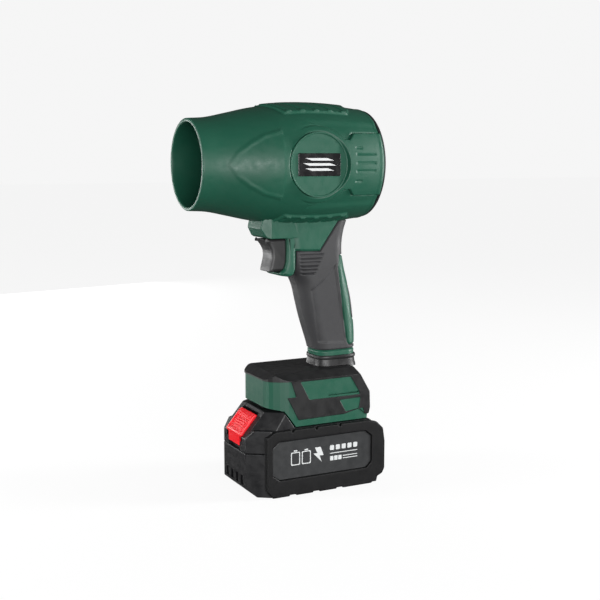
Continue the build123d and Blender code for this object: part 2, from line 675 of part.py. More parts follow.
with BuildPart() as blades:
    for y in BLADE_Y:
        add(box(-33.0, -7.0, y - 0.4, y + 0.4, 59.0, 64.0))
save(blades.part, "terminal_blades")


def wires(name, runs, radius=1.1, bend=5.0):
    """A bundle of separate wires in one node."""
    save(Compound(children=[wire(run, radius, bend) for run in runs]), name)


wires("battery_leads", [[(-26, y, 68.4), (-26, y, 84), (-15.5, y, 84), (-15.5, y, 74.6)] for y in (-7.5, 7.5)],
      1.1, 4.0)
wires("switch_leads", [[(-13, y, 74.6), (-13, y, 98), (-11, y, 140), (-5.5, y, 172), (-5.5, y, 187)]
                       for y in (-5.4, 5.4)])
wires("motor_leads", [[(-18.5, y, 74.6), (-18.5, y, 98), (-21, y, 150), (-18.8, y, 184), (-18.8, y, 209),
                       (7.0, y, 216.6), (7.0, y, AXIS_Z - MOTOR_R)] for y in LEAD_Y], 1.1, 3.5)

# ---------------------------------------------------------------- battery
print("battery")
OUTLINE = [(PACK_REAR_X, 31), (-47, PACK_HALF_W), (53, PACK_HALF_W), (NOSE_X, NOSE_HALF_W),
           (NOSE_X, -NOSE_HALF_W), (53, -PACK_HALF_W), (-47, -PACK_HALF_W), (PACK_REAR_X, -31)]
HUMP_TOP = [(20, 33), (38.2, 33), (HUMP_X, NOSE_HALF_W), (HUMP_X, -NOSE_HALF_W), (38.2, -33), (20, -33)]
HUMP_BASE = [(20, PACK_HALF_W), (53, PACK_HALF_W), (NOSE_X, NOSE_HALF_W),
             (NOSE_X, -NOSE_HALF_W), (53, -PACK_HALF_W), (20, -PACK_HALF_W)]


def polygon_at(z, points, shrink=0.0):
    """A closed outline in a level plane."""
    with BuildSketch(Plane.XY.offset(z)) as face:
        with BuildLine():
            Polyline(*points, close=True)
        make_face()
        if shrink:
            offset(amount=-shrink, kind=Kind.INTERSECTION)
    return face.sketch


def pack_body(inset=0.0):
    """The outer form of the battery pack, shrunk by inset on every side."""
    with BuildPart() as piece:
        with BuildSketch(Plane.XY.offset(inset)):
            add(polygon_at(0, OUTLINE, inset))
        extrude(amount=PACK_TOP_Z - 2 * inset)
        add(side_prism([(-60, -5), (62.5, -5), (62.5, inset), (NOSE_X - inset, 7.0), (NOSE_X - inset, SLOPE_Z),
                        (64, 80), (-40, 80), (-40, PACK_TOP_Z - inset), (PACK_REAR_X + inset, 47.5),
                        (-60, 47.5)], -50, 50), mode=Mode.INTERSECT)
    with BuildPart() as hump:
        add(polygon_at(SLOPE_Z - inset * 0.5, HUMP_BASE, inset))
        add(polygon_at(HUMP_Z - inset, HUMP_TOP, inset))
        loft(ruled=True)
        add(side_prism([(30.6, 56.0), (40.7, 71), (80, 71), (80, 40), (19, 40)], -50, 50), mode=Mode.INTERSECT)
        add(side_prism([(19, 40), (19, 56.0), (30.6 + inset * 1.6, 56.0), (40.7 + inset * 1.6, 71), (80, 71),
                        (80, 40)], -50, 50), mode=Mode.INTERSECT)
    with BuildPart() as whole:
        add(piece.part)
        add(box(40, 90, -50, 50, SLOPE_Z - inset * 0.5, 80), mode=Mode.SUBTRACT)
        add(hump.part)
    return whole.part


pack_outer = pack_body()
pack_inner = pack_body(PACK_WALL)
button_window = [(52.0, 67.8), (57.2, 67.8), (80, 60), (80, 44.6), (52.0, 44.6)]

with BuildPart() as pack_shell:
    add(pack_outer)
    add(pack_inner, mode=Mode.SUBTRACT)
    # T-shaped rails that hang the pack in the foot
    add(box(-19.5, 27.0, -20.4, 20.4, PACK_TOP_Z - 1, 60.1))
    add(box(-19.5, 27.0, -23.8, 23.8, 60.1, 65.0))
    for y in BLADE_Y:
        add(box(-25.0, -2.0, y - 1.3, y + 1.3, 57.6, 70), mode=Mode.SUBTRACT)
        add(box(-16.0, -2.0, y - 2.6, y + 2.6, 52.0, 64.0), mode=Mode.SUBTRACT)
    # window for the release button, slot for the latch tongue
    add(side_prism(button_window, -BUTTON_HALF_W - 0.5, BUTTON_HALF_W + 0.5), mode=Mode.SUBTRACT)
    add(box(60, 80, -TAB_HALF_W - 0.5, TAB_HALF_W + 0.5, PACK_SPLIT_Z - 1, 50), mode=Mode.SUBTRACT)
    add(box(43.0, 49.0, -8.4, 8.4, 60, 75), mode=Mode.SUBTRACT)
    # cooling slots low on the nose
    for y in (-15, -5, 5, 15):
        add(box(60, 80, y - 2.2, y + 2.2, 9.0, 17.0), mode=Mode.SUBTRACT)

with BuildPart() as pack_lower:
    add(pack_shell.part)
    split(bisect_by=Plane.XY.offset(PACK_SPLIT_Z), keep=Keep.BOTTOM)
    for x, y in PACK_SCREWS:
        add(post(x, y, 1.0, PACK_SPLIT_Z, 3.0))
        add(post(x, y, -1, PACK_SPLIT_Z + 1, SCREW_R), mode=Mode.SUBTRACT)
        add(post(x, y, -1, 2.6, SCREW_HEAD_R), mode=Mode.SUBTRACT)
save(pack_lower.part, "battery_lower_case")

with BuildPart() as pack_upper:
    add(pack_shell.part)
    split(bisect_by=Plane.XY.offset(PACK_SPLIT_Z), keep=Keep.TOP)
    with BuildPart(mode=Mode.PRIVATE) as screw_posts:
        for x, y in PACK_SCREWS:
            add(post(x, y, PACK_SPLIT_Z, 62.0, 3.0))
        add(pack_outer, mode=Mode.INTERSECT)
    add(screw_posts.part)
    for x, y in PACK_SCREWS:
        add(post(x, y, PACK_SPLIT_Z, 46, SCREW_R), mode=Mode.SUBTRACT)
save(pack_upper.part, "battery_upper_case")

with BuildPart() as pack_screws:
    for x, y in PACK_SCREWS:
        add(post(x, y, 2.6, 44.0, SCREW_R))
        add(post(x, y, 0.6, 2.6, SCREW_HEAD_R - 0.1))
        add(post(x, y, 0.4, 1.6, 1.1), mode=Mode.SUBTRACT)
save(pack_screws.part, "battery_screws")

# side bumpers with a window for the label plate
BUMPER = [(57.5, 51.5), (50.5, 55.8), (-38, 55.8), (-46, 53.5), (-52.0, 47.5), (-53.8, 36.0), (-53.8, 12),
          (-51.5, 7.5), (-44.6, 4.4), (-41.0, 0.0), (52.5, 0.0), (57.5, 6.0)]
LABEL = [(52.3, 42.4), (46.8, 46.9), (-34.5, 46.9), (-40.6, 42.0), (-40.6, 19.2), (-35.3, 14.4), (46.5, 14.4),
         (52.3, 18.6)]
for side, name in ((1, "left"), (-1, "right")):
    y0, y1 = sorted((side * PACK_HALF_W, side * BUMPER_Y))
    with BuildPart() as bumper:
        add(side_prism(BUMPER, y0, y1))
        chamfer(bumper.faces().sort_by(Axis.Y)[-1 if side > 0 else 0].edges(), 1.0)
        add(side_prism(LABEL, y0 - 1, y1 + 1), mode=Mode.SUBTRACT)
        # wraps round the front and rear corners of the case
        add(side_prism([(53.4, 6.0), (57.5, 6.0), (57.5, 51.5), (53.4, 51.5)], *sorted((side * 31.8, side * 35.0))))
        add(side_prism([(-53.8, 12), (-50.9, 12), (-50.9, 36), (-53.8, 36)], *sorted((side * 30.0, side * 35.0))))
        add(pack_outer, mode=Mode.SUBTRACT)
    save(bumper.part, f"{name}_bumper")
    y0, y1 = sorted((side * PACK_HALF_W, side * (BUMPER_Y - 1.1)))
    save(side_prism(LABEL, y0, y1), f"{name}_label_plate")

# red release button, latch slider and spring
with BuildPart() as button:
    add(side_prism([(57.6, 66.9), (60.6, 64.8), (71.8, 51.4), (71.8, 49.1), (68.6, 49.1), (55.0, 64.6)],
                   -BUTTON_HALF_W, BUTTON_HALF_W))
    add(side_prism([(71.6, 50), (71.4, 41.0), (69.0, 41.0), (69.0, 50)], -TAB_HALF_W, TAB_HALF_W))
    add(box(52.6, 62.0, -6.0, 6.0, 56.0, 61.0))
save(button.part, "release_button")

with BuildPart() as latch:
    add(box(44.0, 48.0, -8.0, 8.0, 52.0, 69.9))
    add(box(44.0, 52.6, -6.0, 6.0, 56.0, 61.0))
save(latch.part, "latch_tongue")
save(coil_spring((46.0, 0, 45.6), (0, 0, 1), 6.0, 3.6, 0.4, 4), "latch_spring")

with BuildPart() as cells:
    for i in range(5):
        for z in CELL_ROWS_Z:
            add(pin(CELL_X0 + i * CELL_PITCH, z, -CELL_L / 2 + 0.6, CELL_L / 2 - 0.6, CELL_R))
save(cells.part, "battery_cells")

for side, name in ((1, "left_cell_holder"), (-1, "right_cell_holder")):
    y0, y1 = sorted((side * 22.0, side * 29.0))
    with BuildPart() as holder:
        add(box(-42.6, 54.4, y0, y1, 2.1, 40.6))
        for i in range(5):
            for z in CELL_ROWS_Z:
                add(pin(CELL_X0 + i * CELL_PITCH, z, y0 - 1, y1 + 1, CELL_R), mode=Mode.SUBTRACT)
    save(holder.part, name)

with BuildPart() as strips:
    for side in (-1, 1):
        y0, y1 = sorted((side * (CELL_L / 2 - 0.6), side * (CELL_L / 2 - 0.35)))
        first = 0 if side > 0 else 1
        for i in range(first, 5, 2):
            span = CELL_PITCH if i + 1 < 5 else 0
            add(box(CELL_X0 + i * CELL_PITCH - 4, CELL_X0 + i * CELL_PITCH + span + 4, y0, y1, 7, 35))
save(strips.part, "nickel_strips")

save(box(-42, 50, -27, 27, 42.6, 44.2), "battery_board")

with BuildPart() as contacts:
    for y in BLADE_Y:
        add(box(-15.0, -3.0, y - 2.2, y + 2.2, 44.2, 56.6))
        for step in (-1, 1):
            y0, y1 = sorted((y + step * 0.9, y + step * 2.2))
            add(box(-15.0, -3.0, y0, y1, 56.6, 63.4))
save(contacts.part, "battery_contacts")
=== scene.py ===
"""Looks of the cordless leaf blower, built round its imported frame.

Outlines and sizes are in millimetres in the part's own frame: +X is the way the air leaves,
+Y is the left side, +Z is up, and the origin is on the surface that the battery stands on.
"""

from math import cos, pi, radians, sin

import bmesh
import bpy
import numpy as np
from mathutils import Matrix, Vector
from mathutils.geometry import tessellate_polygon


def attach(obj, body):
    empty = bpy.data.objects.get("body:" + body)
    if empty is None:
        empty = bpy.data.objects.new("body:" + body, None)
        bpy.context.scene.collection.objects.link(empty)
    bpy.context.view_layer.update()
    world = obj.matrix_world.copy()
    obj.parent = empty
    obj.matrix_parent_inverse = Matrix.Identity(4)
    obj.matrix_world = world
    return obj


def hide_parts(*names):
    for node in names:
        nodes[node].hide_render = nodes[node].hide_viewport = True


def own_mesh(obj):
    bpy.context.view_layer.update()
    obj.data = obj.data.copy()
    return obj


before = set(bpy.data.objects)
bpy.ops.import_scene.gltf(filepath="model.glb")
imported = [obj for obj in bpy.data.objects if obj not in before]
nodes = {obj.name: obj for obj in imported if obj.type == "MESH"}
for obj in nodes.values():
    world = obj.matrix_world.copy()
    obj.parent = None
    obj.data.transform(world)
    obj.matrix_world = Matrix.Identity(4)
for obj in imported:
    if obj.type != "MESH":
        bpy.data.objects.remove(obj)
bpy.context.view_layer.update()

MM = 0.001
GRID = 0.65                     # spacing of the barrel's points
SIDES = ((1, "left"), (-1, "right"))

# barrel
AXIS_Z = 271.5
REAR_X, MOUTH_X = -45.0, 110.0
BARREL = [(-45, 44.6), (-43.8, 45.6), (-40, 46.1), (-20, 48.1), (9, 49.2), (36, 48.1), (58, 45.1),
          (76, 41.2), (95, 37.4), (110, 36.5)]
BORE = [(-45, 44), (48, 44), (58, 42.1), (76, 38.2), (95, 34.4), (110, 33.5)]
PAD = [(50, 0), (37, 27), (-20, 27), (-25, 20), (-25, -20), (-20, -27), (37, -27)]
PAD_H = 1.55
CHEVRONS, CHEVRON_TIP_X, CHEVRON_PITCH = 6, 49.5, 13.0
CHEVRON_REACH, CHEVRON_HALF_SPAN, CHEVRON_W = 13.0, 23.0, (2.6, 2.4)     # width at the tip and the ends
TICKS, TICK_X, TICK_PITCH, TICK_H = 5, 32.8, 12.4, 0.9
BAND_H = 25                     # ribs and ticks lie further than this from the axis's level
DISC_X, DISC_R, DISC_Y = 15.4, 24.5, 46.2
BADGE_HALF_L, BADGE_HALF_H = 18.8, 9
YOKE_R, YOKE_H, YOKE_HALF_H, YOKE_NECK_HALF_H = 30.5, 1.3, 24.8, 19.6
YOKE_GROOVE = 0.9
SLITS = [(13, -23), (8, -36), (1.2, -36), (-5.2, -36), (-13, -23)]    # height off the axis, rear end
SLIT_FRONT_X, SLIT_HALF_H, SLIT_DEPTH = -17.2, 0.6, 0.8
ARROW = [(45.4, 27.2), (60, 23.4), (72.7, 17.2), (83, 9.4), (90.3, 0), (83, -9.4), (72.7, -17.2),
         (60, -23.4), (45.4, -27.2), (45.4, -24.4), (59, -20.8), (70.9, -15), (80.4, -8), (87, 0),
         (80.4, 8), (70.9, 15), (59, 20.8), (45.4, 24.4)]
ARROW_FIELD = [(45, 25), (72, 16), (88, 0), (72, -16), (45, -25)]
ARROW_H, ARROW_FIELD_H = 0.85, 0.3
SEAM = 0.35                     # depth of the parting line

# handle: height, front, rear, half thickness, corner radius
HANDLE = [(96, -3.0, -38.6, 15.6, 11.0), (108, -2.2, -39.0, 15.2, 11.0), (118, 0.0, -39.6, 15.0, 11.0),
          (130, 3.8, -39.4, 15.0, 11.0), (144, 8.2, -38.0, 15.3, 11.5), (158, 11.7, -35.9, 15.8, 12.0),
          (172, 15.2, -32.2, 16.2, 12.0), (186, 22.0, -28.0, 16.6, 11.0), (200, 26.0, -25.4, 16.8, 10.0),
          (214, 28.0, -26.6, 17.0, 10.0), (230, 30.0, -31.0, 17.6, 9.0)]
GRIP = [(20.4, 186), (21.2, 200.8), (-1.2, 199.9), (-19, 225.5), (-60, 225.5), (-60, 114.5), (20, 114.5),
        (36, 150), (36, 178.6), (23.5, 178.6)]
SPINE = [(-21, 195.5), (-19.2, 186), (-22.2, 165), (-25.6, 140), (-28.8, 121), (-31, 118), (-60, 118),
         (-60, 195.5)]
PALM = [(-33, 171.5), (-30.5, 168.5), (-32, 160), (-34.3, 143), (-37, 139.5), (-60, 139.5), (-60, 171.5)]
GRIP_PANEL = [(-16, 188), (-6, 176), (6.2, 167), (-2, 122), (-26, 120.5), (-27.2, 124)]
SKIN = 1.2                      # how far the green handle is sunk under the soft grip
GROOVES, GROOVE_TOP_Z, GROOVE_PITCH, GROOVE_DEPTH, GROOVE_HALF_H = 6, 196.6, 3.1, 1.1, 0.55

# trigger and nose
TRIGGER = [(47.4, 210.6), (44.6, 208.2), (42.2, 205.2), (40.3, 201.6), (39.6, 198.2), (39.8, 194.4),
           (40.7, 190.8), (41.8, 187), (42.4, 183.5), (25, 183.5), (22.5, 185.4), (22.5, 210.6)]
TRIGGER_HALF_W = 10.6
LIP = [(20, 183.4), (30, 182.9), (34.8, 182.4), (33.4, 180.3), (27, 179.3), (23, 179.6)]
LIP_HALF_W, CHEEK_Y = 12.6, (11.2, 15.8)
CHEEK = [(18, 213), (28.6, 213), (28.2, 200), (28.6, 191), (30.4, 186), (34.4, 183), (33.2, 180.4),
         (27, 179.4), (23.2, 180.6), (20.8, 185), (20.8, 200.5)]
NOSE = [(-8, 232), (2, 211.4), (44.5, 211.4), (47.5, 213), (51.6, 219.8), (50, 226.5), (43, 232)]
NOSE_HALF_W, NOSE_CORNER = 16.9, 4.0

# foot
FOOT_SIDE = [(-39.2, 56.8), (-41.5, 66), (-41, 80), (-28.9, 100.6), (43.2, 100.6), (52.6, 96.2),
             (52.6, 70.6), (39.7, 70.6)]
FOOT_STEP = [(-39.2, 56.8), (-40.6, 62), (-40.6, 74), (41, 74), (39.7, 70.6), (29.6, 56.8)]
FOOT_PLAN = [(-42, -33), (-42, 33), (37.8, 33), (52.6, 23), (52.6, -23), (37.8, -33)]
FOOT_SECTION = [(-33, 50), (-33, 95.5), (-26.5, 101.2), (26.5, 101.2), (33, 95.5), (33, 50)]
FRAME_SIDE = [(34, 96), (29, 81.8), (36.9, 81.8), (26.9, 62.2), (-16.7, 62.7), (-30.3, 66), (-36.5, 60.5),
              (-40.1, 60.5), (-41.4, 66), (-40.9, 80), (-31.6, 96)]
WINDOW_TOP = [(25, 94.2), (16.7, 78.4), (-32.1, 78.3), (-22.3, 94.2)]
WINDOW_LOW = [(-11.8, 75.3), (-17.7, 64.7), (-30.3, 66.3), (-32.1, 75.6)]
COLLAR_X, COLLAR_HALF_W, COLLAR_CORNER = (-39.6, -1.6), 15.4, 13
COLLAR = [(99.5, 1.2), (101.4, 0.9), (103, 0.5), (106.6, 0.2), (107.0, 0.5), (107.5, 0.8), (109.2, 0.8),
          (109.8, 0.5), (110.0, 0.1)]    # height, how much wider

# battery
PACK_PLAN = [(-51, 31), (-47, 34.5), (53, 34.5), (70.8, 22.5), (70.8, -22.5), (53, -34.5), (-47, -34.5),
             (-51, -31)]
HUMP_TOP = [(38.2, 33), (52.9, 22.5), (52.9, -22.5), (38.2, -33), (20, -33), (20, 33)]
HUMP_BASE = [(53, 34.5), (70.8, 22.5), (70.8, -22.5), (53, -34.5), (20, -34.5), (20, 34.5)]
SPLIT_Z, SLOPE_Z, HUMP_Z, PACK_TOP_Z = 36.5, 49.0, 69.9, 56.3
BUMPER_TOP_Z = 55.8
BUMPER = [(57.5, 51.5), (50.5, BUMPER_TOP_Z), (-38, BUMPER_TOP_Z), (-46, 53.5), (-52, 47.5), (-53.8, 36),
          (-53.8, 12), (-51.5, 7.5), (-44.6, 4.4), (-41, 0), (52.5, 0), (57.5, 6)]
BUMPER_NOTCHES_X = (34.2, 12.4, -9.8)
LABEL = [(52.3, 42.4), (46.8, 46.9), (-34.5, 46.9), (-40.6, 42), (-40.6, 19.2), (-35.3, 14.4), (46.5, 14.4),
         (52.3, 18.6)]
PACK_Y, BUMPER_Y, LABEL_Y = 34.3, 37.5, 36.2
BUTTON_SLOPE = [(57.6, 66.9), (55.0, 64.6), (68.6, 49.1), (71.8, 49.1), (71.8, 51.4), (60.6, 64.8)]
BUTTON_TAB = [(71.6, 50), (69, 50), (69, 41), (71.4, 41)]
BUTTON_PAD = [(61.7, 62.5), (70.0, 52.6), (72.3, 54.5), (64.0, 64.4)]
BUTTON_WINDOW = [(52, 67.8), (52, 44.6), (80, 44.6), (80, 60), (57.2, 67.8)]
BUTTON_RIBS = (0.24, 0.41, 0.58, 0.75)    # places down the slope
BLADE_Y = (-13.5, -4.5, 4.5, 13.5)        # slots for the contact blades
FRONT_SLOT_Y = (-15, -5, 5, 15)

# housing screws, which are driven from the right side
SCREWS = [(40, 218.6), (-22, 216.3), (5.6, 163), (-30, 128), (43, 86), (-31.8, 82)]
WELL_R, WELL_FLOOR_Y = 3.3, 11.2


# ---------------------------------------------------------------- outlines and fields
def along(table, at, column=1):
    """Smooth value of a table's column at the given places, without overshoot at its ends."""
    keys = np.array([row[0] for row in table], float)
    values = np.array([row[column] for row in table], float)
    slopes = np.gradient(values, keys)
    i = np.clip(np.searchsorted(keys, at, side="right") - 1, 0, len(keys) - 2)
    span = keys[i + 1] - keys[i]
    t = (at - keys[i]) / span
    return ((2 * t**3 - 3 * t**2 + 1) * values[i] + (t**3 - 2 * t**2 + t) * span * slopes[i]
            + (3 * t**2 - 2 * t**3) * values[i + 1] + (t**3 - t**2) * span * slopes[i + 1])


def depth_in(a, b, outline):
    """Distance from each point to a closed outline, positive inside it."""
    corners = np.array(outline, float)
    nearest = np.full(a.shape, 1e9)
    inside = np.zeros(a.shape, bool)
    for (a0, b0), (a1, b1) in zip(corners, np.roll(corners, -1, axis=0)):
        da, db = a1 - a0, b1 - b0
        t = np.clip(((a - a0) * da + (b - b0) * db) / (da * da + db * db), 0, 1)
        nearest = np.minimum(nearest, np.hypot(a - a0 - t * da, b - b0 - t * db))
        if db:
            inside ^= ((b0 > b) != (b1 > b)) & (a < a0 + (b - b0) * da / db)
    return np.where(inside, nearest, -nearest)


def step(depth, width):
    """0 outside, 1 inside, with a smooth edge of the given width."""
    t = np.clip(depth / width + 0.5, 0, 1)
    return t * t * (3 - 2 * t)


def rounded(outline, radius, parts=4):
    """The outline with each corner turned into an arc."""
    points = []
    count = len(outline)
    for i in range(count):
        here = Vector(outline[i])
        back, ahead = Vector(outline[i - 1]) - here, Vector(outline[(i + 1) % count]) - here
        reach = min(radius, back.length * 0.45, ahead.length * 0.45)
        start, end = here + back.normalized() * reach, here + ahead.normalized() * reach
        for k in range(parts + 1):
            t = k / parts
            points.append(tuple((1 - t) ** 2 * start + 2 * t * (1 - t) * here + t**2 * end))
    return points


def oblong(x0, x1, z0, z1):
    """The outline of a rectangle between two corners."""
    return [(x0, z0), (x1, z0), (x1, z1), (x0, z1)]


def turned(outline, anticlockwise=True):
    """The outline in the wanted sense of rotation."""
    area = sum(a[0] * b[1] - b[0] * a[1] for a, b in zip(outline, outline[1:] + outline[:1]))
    return list(outline) if (area > 0) == anticlockwise else list(reversed(outline))


# ---------------------------------------------------------------- closed parts: (points, faces)
def wrap(outer, inner):
    """A closed shell between two grids that have the same number of columns."""
    rows, cols = outer.shape[:2]
    inner_rows = inner.shape[0]
    base = rows * cols
    points = np.vstack([outer.reshape(-1, 3), inner.reshape(-1, 3)])
    faces = [(i * cols + j, (i + 1) * cols + j, (i + 1) * cols + j + 1, i * cols + j + 1)
             for i in range(rows - 1) for j in range(cols - 1)]
    faces += [(base + i * cols + j, base + i * cols + j + 1, base + (i + 1) * cols + j + 1,
               base + (i + 1) * cols + j) for i in range(inner_rows - 1) for j in range(cols - 1)]
    for outer_row, inner_row in ((0, 0), (rows - 1, inner_rows - 1)):
        o, n = outer_row * cols, base + inner_row * cols
        faces += [(o + j, o + j + 1, n + j + 1, n + j) for j in range(cols - 1)]
    for j in (0, cols - 1):
        faces.append([i * cols + j for i in range(rows)]
                     + [base + i * cols + j for i in reversed(range(inner_rows))])
    return points, faces


def stack(rings):
    """A closed part through level rings that have the same number of points."""
    count = len(rings[0])
    points = np.vstack([np.array(r, float) for r in rings])
    faces = [(k * count + i, k * count + (i + 1) % count, (k + 1) * count + (i + 1) % count,
              (k + 1) * count + i) for k in range(len(rings) - 1) for i in range(count)]
    faces.append(list(reversed(range(count))))
    faces.append([(len(rings) - 1) * count + i for i in range(count)])
    return points, faces


def inset(loop, amount):
    """The loop moved inwards by amount (outwards for a hole, which runs clockwise)."""
    loop = np.array(loop, float)
    before, after = loop - np.roll(loop, 1, 0), np.roll(loop, -1, 0) - loop
    before /= np.linalg.norm(before, axis=1)[:, None]
    after /= np.linalg.norm(after, axis=1)[:, None]
    normal = np.stack([-before[:, 1], before[:, 0]], 1)
    other = np.stack([-after[:, 1], after[:, 0]], 1)
    middle = normal + other
    middle /= np.linalg.norm(middle, axis=1)[:, None]
    return loop + middle * (amount / np.maximum((middle * normal).sum(1), 0.35))[:, None]


def plate(outline, y0, y1, bevel=0.6, holes=(), corner=0.8, bevel_low=None, parts=3):
    """A side outline (X, Z) as thick as y0 to y1, with rounded corners and edges, and holes."""
    loops = [turned(rounded(outline, corner))] + [turned(rounded(h, corner), False) for h in holes]
    low = bevel if bevel_low is None else bevel_low
    levels = [(low * (1 - sin(k / parts * pi / 2)), y0 + low * (1 - cos(k / parts * pi / 2)))
              for k in range(parts + 1)]
    levels += [(bevel * (1 - cos(k / parts * pi / 2)), y1 - bevel * (1 - sin(k / parts * pi / 2)))
               for k in range(parts + 1)]
    points, faces = [], []
    total = sum(len(loop) for loop in loops)
    for amount, y in levels:
        for loop in loops:
            points += [(x, y, z) for x, z in inset(loop, amount)]
    for k in range(len(levels) - 1):
        start = k * total
        for loop in loops:
            count = len(loop)
            faces += [(start + i, start + (i + 1) % count, start + total + (i + 1) % count,
                       start + total + i) for i in range(count)]
            start += count
    for k in (0, len(levels) - 1):
        sets, start = [], k * total
        for loop in loops:
            sets.append([Vector((points[start + i][0], points[start + i][2], 0)) for i in range(len(loop))])
            start += len(loop)
        faces += [tuple(k * total + i for i in t) for t in tessellate_polygon(sets)]
    return np.array(points), faces


def taken(bm):
    """Points and faces of a bmesh, which is then freed."""
    bm.verts.index_update()
    points = np.array([v.co for v in bm.verts])
    faces = [[v.index for v in f.verts] for f in bm.faces]
    bm.free()
    return points, faces


def opened(part):
    """A bmesh with the part's points and faces."""
    bm = bmesh.new()
    verts = [bm.verts.new(p) for p in part[0]]
    for face in part[1]:
        if len(set(face)) > 2:
            bm.faces.new([verts[i] for i in face])
    return bm


def clipped(bm, origin, normal):
    """Cut away what lies beyond a plane and close the cut."""
    cut = bmesh.ops.bisect_plane(bm, geom=bm.verts[:] + bm.edges[:] + bm.faces[:], dist=1e-5,
                                 plane_co=origin, plane_no=normal, clear_outer=True)
    edges = [e for e in cut["geom_cut"] if isinstance(e, bmesh.types.BMEdge)]
    if edges:
        bmesh.ops.contextual_create(bm, geom=edges)


def block(side=(), plan=(), section=(), start=None, bevel=0.8, parts=3):
    """A faceted solid inside convex outlines: side (X, Z), plan (X, Y), section (Y, Z). Edges rounded."""
    bm = bmesh.new()
    if start is None:
        bmesh.ops.create_cube(bm, size=800)
    else:
        for point in start:
            bm.verts.new(point)
        hull = bmesh.ops.convex_hull(bm, input=bm.verts)
        bmesh.ops.delete(bm, geom=hull["geom_interior"], context="VERTS")
        bmesh.ops.dissolve_limit(bm, angle_limit=radians(1), verts=bm.verts, edges=bm.edges)
    for outline, place in ((side, lambda a, b: (a, 0, b)), (plan, lambda a, b: (a, b, 0)),
                           (section, lambda a, b: (0, a, b))):
        loop = turned(list(outline)) if outline else []
        for (a0, b0), (a1, b1) in zip(loop, loop[1:] + loop[:1]):
            clipped(bm, place(a0, b0), place(b1 - b0, a0 - a1))
    bmesh.ops.dissolve_limit(bm, angle_limit=radians(0.5), verts=bm.verts, edges=bm.edges)
    if bevel:
        bmesh.ops.bevel(bm, geom=bm.edges[:], offset=bevel, segments=parts, profile=0.5,
                        affect="EDGES", clamp_overlap=True)
    return taken(bm)


def halved(part, side):
    """The part on one side of the middle plane."""
    bm = opened(part)
    clipped(bm, (0, 0, 0), (0, -side, 0))
    return taken(bm)


def cuboid(x0, x1, y0, y1, z0, z1, bevel=0.0):
    """A box between two corners, as the start of a cut or a rib."""
    return block(start=[(x, y, z) for x in (x0, x1) for y in (y0, y1) for z in (z0, z1)], bevel=bevel)


def bare(part, name="part"):
    """A mesh object with the part's shape."""
    mesh = bpy.data.meshes.new(name)
    bm = opened(part)
    bmesh.ops.recalc_face_normals(bm, faces=bm.faces)
    bm.to_mesh(mesh)
    bm.free()
    thing = bpy.data.objects.new(name, mesh)
    bpy.context.scene.collection.objects.link(thing)
    return thing


def wells():
    """The round holes down to the heads of the housing screws."""
    around = [2 * pi * k / 40 for k in range(40)]
    return [stack([[(x + WELL_R * cos(a), y, z + WELL_R * sin(a)) for a in around]
                   for y in (WELL_FLOOR_Y, 40)]) for x, z in SCREWS]


def without(part, cutters, operation="DIFFERENCE"):
    """The part with the cutters' space taken out of it, or added to it."""
    thing = bare(part)
    tools = [bare(c, "cutter") for c in cutters]
    for tool in tools:
        cut = thing.modifiers.new("cut", "BOOLEAN")
        cut.operation, cut.solver, cut.object = operation, "EXACT", tool
    bpy.context.view_layer.update()
    mesh = bpy.data.meshes.new_from_object(thing.evaluated_get(bpy.context.evaluated_depsgraph_get()))
    result = (np.array([v.co for v in mesh.vertices]), [list(f.vertices) for f in mesh.polygons])
    for used in [thing] + tools:
        bpy.data.objects.remove(used)
    return result


def piece(name, parts, material, body, stands_for=(), side=1, sharp=40):
    """One named piece from closed parts, riding on a body and standing for CAD nodes."""
    points, faces, paints, base = [], [], [], 0
    for part in parts:
        paint = part[2] if len(part) > 2 else 0
        points.append(part[0])
        faces += [[base + i for i in f] for f in part[1]]
        paints += [paint] * len(part[1])
        base += len(part[0])
    points = np.vstack(points) * MM
    if side < 0:
        points[:, 1] *= -1
    mesh = bpy.data.meshes.new(name)
    bm = opened((points, faces))
    bm.faces.ensure_lookup_table()
    for face, paint in zip(bm.faces, paints):
        face.material_index = paint
    bmesh.ops.recalc_face_normals(bm, faces=bm.faces)
    bm.to_mesh(mesh)
    bm.free()
    for each in material if isinstance(material, (list, tuple)) else [material]:
        mesh.materials.append(each)
    mesh.polygons.foreach_set("use_smooth", [True] * len(mesh.polygons))
    mesh.set_sharp_from_angle(angle=radians(sharp))
    thing = bpy.data.objects.new(name, mesh)
    bpy.context.scene.collection.objects.link(thing)
    even = thing.modifiers.new("even_shading", "WEIGHTED_NORMAL")
    even.keep_sharp = True
    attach(thing, body)
    if stands_for:
        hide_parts(*stands_for)
    return thing


# ---------------------------------------------------------------- materials
def rgb(red, green, blue):
    """Linear colour of a display colour given as 0 to 255."""
    return tuple((c / 255 / 12.92 if c <= 10 else ((c / 255 + 0.055) / 1.055) ** 2.4)
                 for c in (red, green, blue)) + (1.0,)


